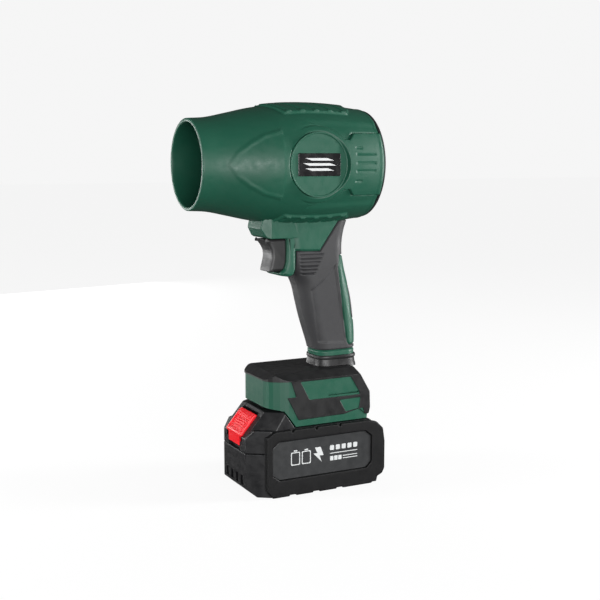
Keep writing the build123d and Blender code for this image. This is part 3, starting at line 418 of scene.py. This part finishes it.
def plastic(name, colour, rough, grain=0.55, bump=0.10, vary=0.10, scuff=0.08, metallic=0.0, coat=0.0,
            specular=0.5, sheen=0.0, streak=None):
    """A moulded or drawn surface: fine texture, slow changes of tone, faint scuffs in the gloss."""
    mat = bpy.data.materials.new(name)
    mat.use_nodes = True
    tree = mat.node_tree
    shader = tree.nodes["Principled BSDF"]
    shader.inputs["Metallic"].default_value = metallic
    shader.inputs["Specular IOR Level"].default_value = specular
    shader.inputs["Coat Weight"].default_value = coat
    shader.inputs["Coat Roughness"].default_value = 0.2
    shader.inputs["Sheen Weight"].default_value = sheen
    shader.inputs["Sheen Roughness"].default_value = 0.4
    place = tree.nodes.new("ShaderNodeTexCoord")

    def noise(size_mm, detail, stretch=None):
        out = place.outputs["Object"]
        if stretch:
            scaled = tree.nodes.new("ShaderNodeMapping")
            scaled.inputs["Scale"].default_value = stretch
            tree.links.new(out, scaled.inputs["Vector"])
            out = scaled.outputs["Vector"]
        tex = tree.nodes.new("ShaderNodeTexNoise")
        tex.inputs["Scale"].default_value = 1000 / size_mm
        tex.inputs["Detail"].default_value = detail
        tree.links.new(out, tex.inputs["Vector"])
        return tex.outputs["Fac"]

    def ranged(source, low, high):
        node = tree.nodes.new("ShaderNodeMapRange")
        for key, value in (("From Min", 0.3), ("From Max", 0.7), ("To Min", low), ("To Max", high)):
            node.inputs[key].default_value = value
        tree.links.new(source, node.inputs["Value"])
        return node.outputs["Result"]

    tone = tree.nodes.new("ShaderNodeMix")
    tone.data_type = "RGBA"
    tree.links.new(ranged(noise(35, 3), 0, 1), tone.inputs[0])
    for socket, factor in ((6, 1 - vary), (7, 1 + vary)):
        tone.inputs[socket].default_value = tuple(min(c * factor, 1) for c in colour[:3]) + (1,)
    tree.links.new(tone.outputs[2], shader.inputs["Base Color"])
    tree.links.new(ranged(noise(6, 5, streak), max(rough - scuff, 0.03), min(rough + scuff, 1)),
                   shader.inputs["Roughness"])
    relief = tree.nodes.new("ShaderNodeBump")
    relief.inputs["Strength"].default_value = bump
    relief.inputs["Distance"].default_value = 0.0004
    tree.links.new(noise(grain, 2, streak), relief.inputs["Height"])
    tree.links.new(relief.outputs["Normal"], shader.inputs["Normal"])
    return mat


GREEN = plastic("green_shell", rgb(25, 75, 58), 0.45, grain=0.5, bump=0.10, vary=0.05, specular=0.36)
FINISH = {
    "green_shell": GREEN,
    "soft_grip": plastic("soft_grip", rgb(39, 39, 41), 0.60, grain=0.7, bump=0.22, sheen=0.05),
    "foot_cover": plastic("foot_cover", rgb(16, 16, 17), 0.46, grain=0.6, bump=0.16, specular=0.42),
    "badge": plastic("badge", rgb(18, 18, 19), 0.24, bump=0.03, coat=0.3),
    "black_nylon": plastic("black_nylon", rgb(26, 27, 28), 0.45, grain=0.6, bump=0.12),
    "isolation_rubber": plastic("isolation_rubber", rgb(24, 24, 25), 0.8, bump=0.15),
    "motor_metal": plastic("motor_metal", rgb(172, 174, 176), 0.32, metallic=1.0, bump=0.04),
    "bearing_steel": plastic("bearing_steel", rgb(196, 198, 200), 0.18, metallic=1.0, bump=0.02),
    "lamination": plastic("lamination", rgb(120, 120, 122), 0.45, metallic=1.0, streak=(14, 0.3, 0.3)),
    "copper": plastic("copper", rgb(196, 112, 66), 0.34, metallic=1.0, bump=0.1),
    "magnet": plastic("magnet", rgb(90, 92, 96), 0.36, metallic=0.9),
    "trigger_plastic": plastic("trigger_plastic", rgb(36, 36, 37), 0.46, grain=0.6, bump=0.14),
    "switch_plastic": plastic("switch_plastic", rgb(30, 31, 33), 0.42),
    "screw_steel": plastic("screw_steel", rgb(128, 130, 132), 0.34, metallic=1.0),
    "spring_steel": plastic("spring_steel", rgb(176, 178, 182), 0.26, metallic=1.0),
    "circuit_board": plastic("circuit_board", rgb(22, 84, 58), 0.38, grain=1.4, vary=0.2),
    "wire_insulation": plastic("wire_insulation", rgb(150, 26, 24), 0.42),
    "plug_metal": plastic("plug_metal", rgb(214, 180, 96), 0.26, metallic=1.0),
    "pack_case": plastic("pack_case", rgb(17, 17, 19), 0.38, grain=0.6, bump=0.14, specular=0.42),
    "pack_bumper": plastic("pack_bumper", rgb(9, 9, 10), 0.55, grain=0.7, bump=0.2, specular=0.25),
    "pack_label": plastic("pack_label", rgb(40, 41, 42), 0.42, grain=0.4, bump=0.06),
    "release_red": plastic("release_red", rgb(225, 18, 30), 0.34, grain=0.5, bump=0.06, vary=0.06),
    "cell_wrap": plastic("cell_wrap", rgb(40, 96, 150), 0.3, bump=0.03),
    "cell_holder": plastic("cell_holder", rgb(38, 38, 40), 0.5),
    "nickel": plastic("nickel", rgb(190, 186, 176), 0.3, metallic=1.0, streak=(0.3, 6, 0.3)),
}
MARK = plastic("printed_mark", rgb(190, 192, 192), 0.45, bump=0.02, vary=0.04)
for node in nodes.values():
    for index, slot in enumerate(node.data.materials):
        key = slot.name.split(".")[0]
        if key in FINISH:
            node.data.materials[index] = FINISH[key]


# ---------------------------------------------------------------- barrel
def barrel_half():
    """The left half of the barrel: its moulded outside and its bore."""
    xs = np.linspace(REAR_X, MOUTH_X, int((MOUTH_X - REAR_X) / GRID) + 1)
    turn = np.linspace(0, pi, int(pi * 48 / GRID) + 1)
    x, t = np.meshgrid(xs, turn, indexing="ij")
    radius = along(BARREL, x)
    y, h = radius * np.sin(t), radius * np.cos(t)
    level = np.zeros_like(x)
    # chevron ribs over the top and the underside
    band = np.abs(h) > BAND_H
    ribs = step(depth_in(x, y, PAD), 1.3) * band
    for i in range(CHEVRONS):
        tip = CHEVRON_TIP_X - CHEVRON_PITCH * i
        wing, reach = tip - CHEVRON_REACH, CHEVRON_HALF_SPAN
        groove = [(tip, 0), (wing, reach), (wing - CHEVRON_W[1], reach), (tip - CHEVRON_W[0], 0),
                  (wing - CHEVRON_W[1], -reach), (wing, -reach)]
        ribs = ribs * (1 - step(depth_in(x, y, groove), 1.4))
    level += PAD_H * ribs
    for k in range(TICKS):
        tick = TICK_X - TICK_PITCH * k
        level += TICK_H * step(depth_in(x, np.abs(y), oblong(tick - 2, tick + 2, 24.9, 26.3)), 0.9) * band
    # yoke round the rear of the badge seat
    ring_gap = np.hypot(x - DISC_X, h)
    bar = depth_in(x, h, [(-48, -YOKE_HALF_H), (-17.5, -YOKE_HALF_H), (-12.5, -YOKE_NECK_HALF_H),
                          (-8, -YOKE_NECK_HALF_H), (-8, YOKE_NECK_HALF_H), (-12.5, YOKE_NECK_HALF_H),
                          (-17.5, YOKE_HALF_H), (-48, YOKE_HALF_H)])
    yoke = np.maximum(bar, np.minimum(YOKE_R - ring_gap, 15 - (x - DISC_X)))
    fade = np.clip((DISC_X + 15 - x) / 22, 0, 1)
    level += YOKE_H * step(yoke, 1.1) * fade
    outside = step(yoke + 0.9, 1.8) * (1 - step(yoke, 1.0))
    level -= YOKE_GROOVE * outside * fade * (x > REAR_X + 2)
    hollow = depth_in(x, np.abs(h), [(19, 34), (-50, 31.5), (-50, 20), (-8, 16), (8, 28)])
    level -= YOKE_GROOVE * step(hollow, 5.0) * (1 - step(yoke, 1.1))
    for off, x0 in SLITS:
        slit = depth_in(x, h, oblong(x0, SLIT_FRONT_X, off - SLIT_HALF_H, off + SLIT_HALF_H))
        level -= SLIT_DEPTH * step(slit, 0.9)
    # arrow ridge towards the mouth, lower at its tip
    blunt = 0.4 + 0.6 * np.clip((86 - x) / 24, 0, 1)
    level += ARROW_H * blunt * step(depth_in(x, h, ARROW), 3.0)
    level += ARROW_FIELD_H * step(depth_in(x, h, ARROW_FIELD), 3.0)
    # flat round seat: the wall is cut back to just under the badge disc
    seat = step(DISC_R + 1.6 - ring_gap, 1.2)
    seat_radius = (DISC_Y - 1.2) / np.maximum(np.sin(t), 0.3)
    radius = (radius + level) * (1 - seat) + np.minimum(radius, seat_radius) * seat
    # parting line and rim
    radius -= SEAM * (1 - step(np.minimum(y, 40) - 0.25, 0.7)) * (x < MOUTH_X - 1)
    rim = np.clip((x - MOUTH_X + 1.0) / 1.0, 0, 1)
    radius -= 0.7 * (1 - np.sqrt(1 - rim**2))
    outer = np.stack([x, radius * np.sin(t), AXIS_Z + radius * np.cos(t)], -1)
    bore_x = np.array([REAR_X, -20, 5, 30, 44, 48, 52, 56, 62, 68, 74, 80, 86, 92, 98, 103, 107, 109.2,
                       MOUTH_X])
    bx, bt = np.meshgrid(bore_x, turn, indexing="ij")
    bore = along(BORE, bx) + 0.5 * (bx == MOUTH_X)
    inner = np.stack([bx, bore * np.sin(bt), AXIS_Z + bore * np.cos(bt)], -1)
    return wrap(outer, inner)


def disc():
    """The badge seat: a flat round boss with a raised rim."""
    profile = [(DISC_R + 1.3, 30), (DISC_R + 1.3, DISC_Y + 0.35), (DISC_R + 1.15, DISC_Y + 0.7),
               (DISC_R + 0.3, DISC_Y + 0.7), (DISC_R, DISC_Y + 0.5), (DISC_R - 0.2, DISC_Y), (12, DISC_Y)]
    around = [2 * pi * k / 160 for k in range(160)]
    return stack([[(DISC_X + r * cos(a), y, AXIS_Z + r * sin(a)) for a in around] for r, y in profile])


# ---------------------------------------------------------------- handle
def handle_grid(z_low, z_high, field, spacing=0.7, count=90):
    """The left half of the handle's surface from front to rear, moved out by field(x, y, z)."""
    heights = np.linspace(z_low, z_high, int((z_high - z_low) / spacing) + 1)
    grid = np.zeros((count, len(heights), 3))
    for j, z in enumerate(heights):
        front, rear, half, corner = (along(HANDLE, np.array([z]), c)[0] for c in (1, 2, 3, 4))
        arc = np.linspace(0, pi / 2, 24)
        flat = half - corner
        path = np.vstack([[(front, 0)],
                          np.stack([front - corner + corner * np.cos(arc), flat + corner * np.sin(arc)], 1),
                          np.stack([rear + corner - corner * np.sin(arc), flat + corner * np.cos(arc)], 1),
                          [(rear, 0)]])
        run = np.concatenate([[0], np.cumsum(np.linalg.norm(np.diff(path, axis=0), axis=1))])
        at = np.linspace(0, run[-1], count)
        line = np.stack([np.interp(at, run, path[:, 0]), np.interp(at, run, path[:, 1])], 1)
        ahead = np.gradient(line, axis=0)
        ahead /= np.linalg.norm(ahead, axis=1)[:, None]
        out = np.stack([ahead[:, 1], -ahead[:, 0]], 1)
        out[0], out[-1] = (1, 0), (-1, 0)
        grid[:, j, :2] = line + out * field(line[:, 0], line[:, 1], np.full(count, z))[:, None]
        grid[:, j, 1] = np.maximum(grid[:, j, 1], 0)
        grid[:, j, 2] = z
    grid[0, :, 1] = grid[-1, :, 1] = 0
    return grid


def bare_region(x, z):
    """How deep a point of the handle's side lies in the area that soft grip covers."""
    return np.minimum(depth_in(x, z, GRIP), -depth_in(x, z, SPINE))


def core_level(x, y, z):
    """The green handle: sunk under the grip, with a gap round it."""
    edge = bare_region(x, z)
    palm = depth_in(x, z, PALM)
    sunk = step(edge + 0.3, 1.0) + step(palm + 0.3, 1.0)
    gaps = 0.6 * step(0.6 - np.abs(edge + 0.2), 0.8) + 0.4 * step(0.6 - np.abs(palm + 0.2), 0.8)
    return -SKIN * sunk - gaps


def grip_level(x, y, z):
    """The soft grip: grooves by the thumb, a sunk side panel, and edges that dive under the green."""
    edge = bare_region(x, z)
    level = -2.6 * (1 - step(edge - 0.2, 1.5))
    side = step(y - 9.5, 2.0)
    for i in range(GROOVES):
        groove_z = GROOVE_TOP_Z - GROOVE_PITCH * i
        groove = oblong(1.5 * i - 4.5, 17.4 - 0.4 * i, groove_z - GROOVE_HALF_H, groove_z + GROOVE_HALF_H)
        level -= GROOVE_DEPTH * step(depth_in(x, z, groove), 0.9) * side
    level -= 0.8 * step(depth_in(x, z, GRIP_PANEL), 0.9) * step(y - 6, 3)
    return level


def grip_half():
    """The left half of the soft grip."""
    outer = handle_grid(113.6, 226.4, grip_level)
    inner = handle_grid(113.6, 226.4, lambda x, y, z: np.full_like(x, -3.4), count=16)
    return wrap(outer, inner)


def palm_level(x, y, z):
    """The soft pad let into the green spine."""
    return -0.1 - 2.5 * (1 - step(depth_in(x, z, PALM) - 0.2, 1.2))


def palm_half():
    """The left half of the soft pad in the spine."""
    outer = handle_grid(137.5, 173.5, palm_level)
    inner = handle_grid(137.5, 173.5, lambda x, y, z: np.full_like(x, -3.2), count=16)
    return wrap(outer, inner)


def core_half():
    """The left half of the green handle."""
    outer = handle_grid(97.0, 230.0, core_level)
    inner = handle_grid(97.0, 230.0, lambda x, y, z: np.full_like(x, -9.0), count=12)
    return wrap(outer, inner)


def nose():
    """The block under the barrel that roofs the trigger, its front corners cut off."""
    front = max(x for x, z in NOSE)
    tip, cut_x, cut_y = front + 0.4, front - 2 * NOSE_CORNER, NOSE_HALF_W - NOSE_CORNER
    plan = [(10, -NOSE_HALF_W), (cut_x, -NOSE_HALF_W), (tip, -cut_y), (tip, cut_y), (cut_x, NOSE_HALF_W),
            (10, NOSE_HALF_W)]
    return block(side=NOSE, plan=plan, bevel=0.9)


def foot_body():
    """The green foot with the rail channel that the battery slides into."""
    upper = block(side=FOOT_SIDE, plan=rounded(FOOT_PLAN, 6, 3), section=FOOT_SECTION, bevel=0.9)
    lower = block(side=FOOT_STEP, plan=rounded(FOOT_PLAN, 6, 3), section=FOOT_SECTION, bevel=0.8)
    whole = without(upper, [lower], "UNION")
    shrunk = (whole[0] * (0.985, 0.984, 1.0), whole[1])
    channel = [cuboid(-36, 70, -21, 21, 40, 60.0), cuboid(-36, 70, -24.4, 24.4, 59.6, 66.4)]
    vents = [cuboid(-30.2, -1.2, *sorted((side * 30.0, side * 34)), 79.9, 81.5) for side in (1, -1)]
    return without(shrunk, channel + vents)


foot_part, nose_part = foot_body(), nose()
lip_part = plate(LIP, -LIP_HALF_W, LIP_HALF_W, bevel=2.0, corner=1.0)
cheek_part = plate(CHEEK, *CHEEK_Y, bevel=2.4, corner=1.2, bevel_low=0.3)
barrel_part, disc_part = barrel_half(), disc()
trigger_pocket = cuboid(12, 60, -2, 11.3, 183.2, 211.4)
core_part, grip_part = (without(part, [trigger_pocket]) for part in (core_half(), grip_half()))
for side, word in SIDES:
    drilled = [core_part] + [halved(part, 1) for part in (foot_part, nose_part)]
    if side < 0:
        drilled = [without(part, wells()) for part in drilled]
        grip_part = without(grip_part, wells())
    shell = [barrel_part, disc_part, cheek_part, halved(lip_part, 1)] + drilled
    piece(f"{word}_shell", shell, GREEN, "root", [f"{word}_housing"], side, sharp=62)
    piece(f"{word}_grip", [grip_part], FINISH["soft_grip"], "root", [f"{word}_grip_overmould"],
          side, sharp=75)

palm = palm_half()
piece("palm_grip", [palm, (palm[0] * (1, -1, 1), palm[1])], FINISH["soft_grip"], "root",
      ["palm_pad"], sharp=75)

# ---------------------------------------------------------------- foot covers
cap = block(side=[(-31.9, 95.3), (-28.5, 101.2), (43.5, 101.2), (52.6, 96.2), (52.6, 94.9)],
            plan=rounded(FOOT_PLAN, 6, 3), section=FOOT_SECTION, bevel=0.6)
rear = block(side=[(-40.0, 60.5), (-41.5, 66), (-41, 80), (-31.4, 96.4), (-26, 96.4), (-36, 60.5)],
             plan=FOOT_PLAN, bevel=0.7)
rear = (rear[0] * (1, 0.997, 1), rear[1])
frame_plate = plate(FRAME_SIDE, 31.2, 33.0, bevel=0.45, holes=[WINDOW_TOP, WINDOW_LOW], corner=1.2,
                    bevel_low=0.1)


def collar():
    """The stepped ring where the handle enters the foot."""
    rings = []
    for z, grow in COLLAR:
        half = COLLAR_HALF_W + grow
        loop = rounded(oblong(COLLAR_X[0] - grow, COLLAR_X[1] + grow, -half, half), COLLAR_CORNER, 10)
        rings.append([(x, y, z) for x, y in loop])
    return stack(rings)


for side, word in SIDES:
    parts = [frame_plate, halved(rear, 1)]
    if side < 0:
        parts = [without(part, wells()) for part in parts]
    parts += [halved(cap, 1), halved(collar(), 1)]
    piece(f"{word}_cover", parts, FINISH["foot_cover"], "root", [f"{word}_foot_cover"], side)

# ---------------------------------------------------------------- trigger and badge
trigger = plate(TRIGGER, -TRIGGER_HALF_W, TRIGGER_HALF_W, bevel=2.3, corner=1.2)
piece("trigger_lever", [trigger], FINISH["trigger_plastic"], "trigger", ["trigger"])
for side, word in SIDES:
    board = plate(oblong(DISC_X - BADGE_HALF_L, DISC_X + BADGE_HALF_L, AXIS_Z - BADGE_HALF_H,
                         AXIS_Z + BADGE_HALF_H), DISC_Y - 0.4, DISC_Y + 0.9, bevel=0.3, corner=1.2)
    strokes = []
    for reach, rise in ((13, 4.2), (15, 0.2), (13, -3.8)):
        x0, z0 = DISC_X - reach, AXIS_Z + rise
        x1 = x0 + 2 * reach
        slanted = [(x0, z0 - 1), (x1 - 6, z0 - 1), (x1, z0 + 1), (x0 + 6, z0 + 1)]
        strokes.append(plate(slanted, DISC_Y + 0.5, DISC_Y + 1.0, bevel=0.05, corner=0.5) + (1,))
    piece(f"{word}_badge", [board] + strokes, [FINISH["badge"], MARK], "root",
          [f"{word}_badge_plate"], side)

# ---------------------------------------------------------------- battery
def pack_lower():
    """The battery's lower case, with four slots in its front."""
    top = SPLIT_Z - 0.1
    body = block(side=[(-51, 5), (-47.5, 0), (62.5, 0), (70.8, 7), (70.8, top), (-51, top)],
                 plan=PACK_PLAN, bevel=0.9)
    return without(body, [cuboid(66, 80, y - 2.2, y + 2.2, 9, 17) for y in FRONT_SLOT_Y])


def pack_upper():
    """The battery's upper case: body, front hump and the slotted rails that the foot slides over."""
    low = SPLIT_Z + 0.1
    body = block(side=[(-51, low), (70.8, low), (70.8, SLOPE_Z), (64.5, PACK_TOP_Z), (-40, PACK_TOP_Z),
                       (-51, 47.5)], plan=PACK_PLAN, bevel=0.9)
    corners = [(x, y, HUMP_Z) for x, y in HUMP_TOP] + [(x, y, SLOPE_Z) for x, y in HUMP_BASE]
    hump = block(side=[(22.5, 44), (40.7, 71), (80, 71), (80, 44)], start=corners, bevel=1.0)
    window = plate(BUTTON_WINDOW, -15.5, 15.5, bevel=0.1, corner=0.3)
    tab_well = cuboid(67.5, 80, -11.5, 11.5, 36, 50)
    latch_slot = cuboid(43, 49, -8.4, 8.4, 55, 75)
    slots = [cuboid(-25, -2, y - 1.3, y + 1.3, 57.6, 70) for y in BLADE_Y]
    rails = [without(cuboid(-19.5, 27, -20.4, 20.4, 55, 61, 0.4), slots),
             without(cuboid(-19.5, 27, -23.8, 23.8, 60.1, 65, 0.5), slots)]
    return [without(body, [window, tab_well]), without(hump, [window, tab_well, latch_slot])] + rails


piece("pack_base", [pack_lower()], FINISH["pack_case"], "battery", ["battery_lower_case"])
piece("pack_top", pack_upper(), FINISH["pack_case"], "battery", ["battery_upper_case"])


def mark(outline, holes=(), corner=0.4):
    """A printed sign on the label plate."""
    return plate(outline, LABEL_Y - 0.2, LABEL_Y + 0.08, bevel=0.03, corner=corner, holes=holes) + (1,)


def label_marks():
    """Generic battery signs: two outlined cells, a bolt, a charge row and rule lines."""
    signs = []
    for x0 in (27.4, 17.4):
        signs.append((oblong(x0, x0 + 8.4, 25.5, 36.6), [oblong(x0 + 0.8, x0 + 7.6, 26.3, 35.8)], 1.2))
        signs.append((oblong(x0 + 2.6, x0 + 5.8, 37.1, 38.2),))
    signs.append(([(13.6, 38.2), (8.2, 38.2), (5.4, 30.8), (9.2, 30.8), (7.2, 25.4), (15.0, 33.2),
                   (11.2, 33.2)],))
    signs += [(oblong(-4.6 - 5.6 * k, -0.6 - 5.6 * k, 34, 38.2), (), 1.0) for k in range(5)]
    signs += [(oblong(-4.0 - 3.9 * k, -0.8 - 3.9 * k, 25, 28.8), (), 0.5) for k in range(3)]
    signs += [(oblong(-27, x1, z, z + 0.7), (), 0.2) for x1, z in ((-0.6, 31), (-13, 27.6), (-13, 25.4))]
    return signs


def bumper_outline():
    """The bumper's outline with its notches, narrow above and wide below."""
    above, below = [], []
    for x in BUMPER_NOTCHES_X:
        above += [(x + 1.1, BUMPER_TOP_Z), (x + 0.9, 53.9), (x - 0.9, 53.9), (x - 1.1, BUMPER_TOP_Z)]
    for x in reversed(BUMPER_NOTCHES_X):
        below += [(x - 3.2, 0), (x - 2.8, 1.1), (x + 2.8, 1.1), (x + 3.2, 0)]
    return BUMPER[:2] + above + BUMPER[2:10] + below + BUMPER[10:]


outline = bumper_outline()
card_outline = [(x * 0.995, 30.6 + (z - 30.6) * 0.985) for x, z in LABEL]
for side, word in SIDES:
    guard = [plate(outline, PACK_Y, BUMPER_Y, bevel=1.0, holes=[LABEL], corner=1.0, bevel_low=0.1),
             plate(oblong(53.4, 57.5, 6, 51.5), 31.6, 35.0, bevel=0.3)]
    piece(f"{word}_guard", guard, FINISH["pack_bumper"], "battery", [f"{word}_bumper"], side)
    card = plate(card_outline, PACK_Y, LABEL_Y, bevel=0.5, corner=1.0)
    marks = [mark(*shape) for shape in label_marks()]
    piece(f"{word}_label", [card] + marks, [FINISH["pack_label"], MARK], "battery",
          [f"{word}_label_plate"], side)

slope_key = without(plate(BUTTON_SLOPE, -14.6, 14.6, bevel=0.9, corner=0.8),
                    [plate(BUTTON_PAD, -12.2, 12.2, bevel=0.3, corner=0.3)])
button = [slope_key, plate(BUTTON_TAB, -11, 11, bevel=0.8, corner=0.5)]
(ax, az), (bx, bz) = BUTTON_PAD[:2]
for t in BUTTON_RIBS:
    x, z = ax + (bx - ax) * t, az + (bz - az) * t
    button.append(plate([(x - 0.5, z + 0.1), (x + 0.1, z - 0.6), (x + 0.7, z - 0.1), (x + 0.1, z + 0.6)],
                        -10, 10, bevel=0.15, corner=0.2))
piece("release_key", button, FINISH["release_red"], "release", ["release_button"])


# ---------------------------------------------------------------- springs
def coil(base, ahead, side, length, radius, wire, turns=4, steps=28, round_steps=8):
    """A closed tube wound along one axis from base."""
    base, ahead, side = Vector(base), Vector(ahead), Vector(side)
    other = ahead.cross(side)
    rings = []
    for k in range(turns * steps + 1):
        turn = 2 * pi * k / steps
        out = side * cos(turn) + other * sin(turn)
        centre = base + ahead * (length * k / (turns * steps)) + out * radius
        rings.append([centre + (out * cos(a) + ahead * sin(a)) * wire
                      for a in (2 * pi * i / round_steps for i in range(round_steps))])
    return stack(rings)


trigger_coil = piece("trigger_coil", [coil((8.7, 0, 200.5), (1, 0, 0), (0, 1, 0), 7.6, 4.4, 0.45)],
                     FINISH["spring_steel"], "root", ["trigger_spring"])
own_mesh(trigger_coil)
latch_coil = piece("latch_coil", [coil((46, 0, 45.6), (0, 0, 1), (1, 0, 0), 6.0, 3.6, 0.4)],
                   FINISH["spring_steel"], "battery", ["latch_spring"])
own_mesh(latch_coil)

# ---------------------------------------------------------------- floor, light and camera
FLOOR_HALF, FLOOR_GLOW = 9.0, 0.89
WORLD_LIGHT, WORLD_SEEN = 0.10, 0.92      # the studio's fill light, and its brightness behind the object

floor_bm = bmesh.new()
bmesh.ops.create_grid(floor_bm, x_segments=8, y_segments=8, size=FLOOR_HALF)
floor_mesh = bpy.data.meshes.new("floor")
floor_bm.to_mesh(floor_mesh)
floor_bm.free()
floor = bpy.data.objects.new("floor", floor_mesh)
bpy.context.scene.collection.objects.link(floor)
paper = plastic("floor_paper", rgb(80, 80, 80), 0.9, grain=1.5, bump=0.02, vary=0.01)
paper.node_tree.nodes["Principled BSDF"].inputs["Emission Color"].default_value = (1, 1, 1, 1)
paper.node_tree.nodes["Principled BSDF"].inputs["Emission Strength"].default_value = FLOOR_GLOW
floor.data.materials.append(paper)
floor.visible_diffuse = floor.visible_glossy = False

world = bpy.data.worlds.new("studio")
bpy.context.scene.world = world
world.use_nodes = True
sky = world.node_tree
sky.nodes["Background"].inputs["Color"].default_value = (1, 1, 1, 1)
ray = sky.nodes.new("ShaderNodeLightPath")
dim = sky.nodes.new("ShaderNodeMapRange")
dim.inputs["To Min"].default_value, dim.inputs["To Max"].default_value = WORLD_LIGHT, WORLD_SEEN
sky.links.new(ray.outputs["Is Camera Ray"], dim.inputs["Value"])
sky.links.new(dim.outputs["Result"], sky.nodes["Background"].inputs["Strength"])
bpy.context.scene.view_settings.view_transform = "Standard"


def soft_light(name, place, target, size, power):
    """A rectangular soft box aimed at a point."""
    lamp = bpy.data.lights.new(name, "AREA")
    lamp.shape = "RECTANGLE"
    lamp.size, lamp.size_y = size
    lamp.energy = power
    holder = bpy.data.objects.new(name, lamp)
    bpy.context.scene.collection.objects.link(holder)
    holder.location = place
    holder.rotation_euler = (Vector(target) - Vector(place)).to_track_quat("-Z", "Y").to_euler()


CENTRE = (0.03, 0, 0.18)
soft_light("front_box", (0.45, 1.5, 0.25), CENTRE, (1.5, 0.42), 31)
soft_light("side_box", (-1.1, 0.45, 0.36), CENTRE, (0.25, 0.9), 23)
soft_light("far_box", (1.15, -0.35, 0.30), CENTRE, (0.35, 0.9), 15)
soft_light("back_box", (0.25, -1.3, 0.12), CENTRE, (1.2, 0.4), 8)

CAMERA_AT = Vector((0.4028, 0.7768, 0.2799))
CAMERA_TURN, CAMERA_TILT = radians(26.875), radians(8.016)
camera = bpy.data.objects.new("camera", bpy.data.cameras.new("camera"))
bpy.context.scene.collection.objects.link(camera)
camera.data.sensor_width, camera.data.lens = 36.0, 62.22
camera.location = CAMERA_AT
looking = -Vector((sin(CAMERA_TURN) * cos(CAMERA_TILT), cos(CAMERA_TURN) * cos(CAMERA_TILT),
                   sin(CAMERA_TILT)))
camera.rotation_euler = looking.to_track_quat("-Z", "Y").to_euler()
bpy.context.scene.camera = camera
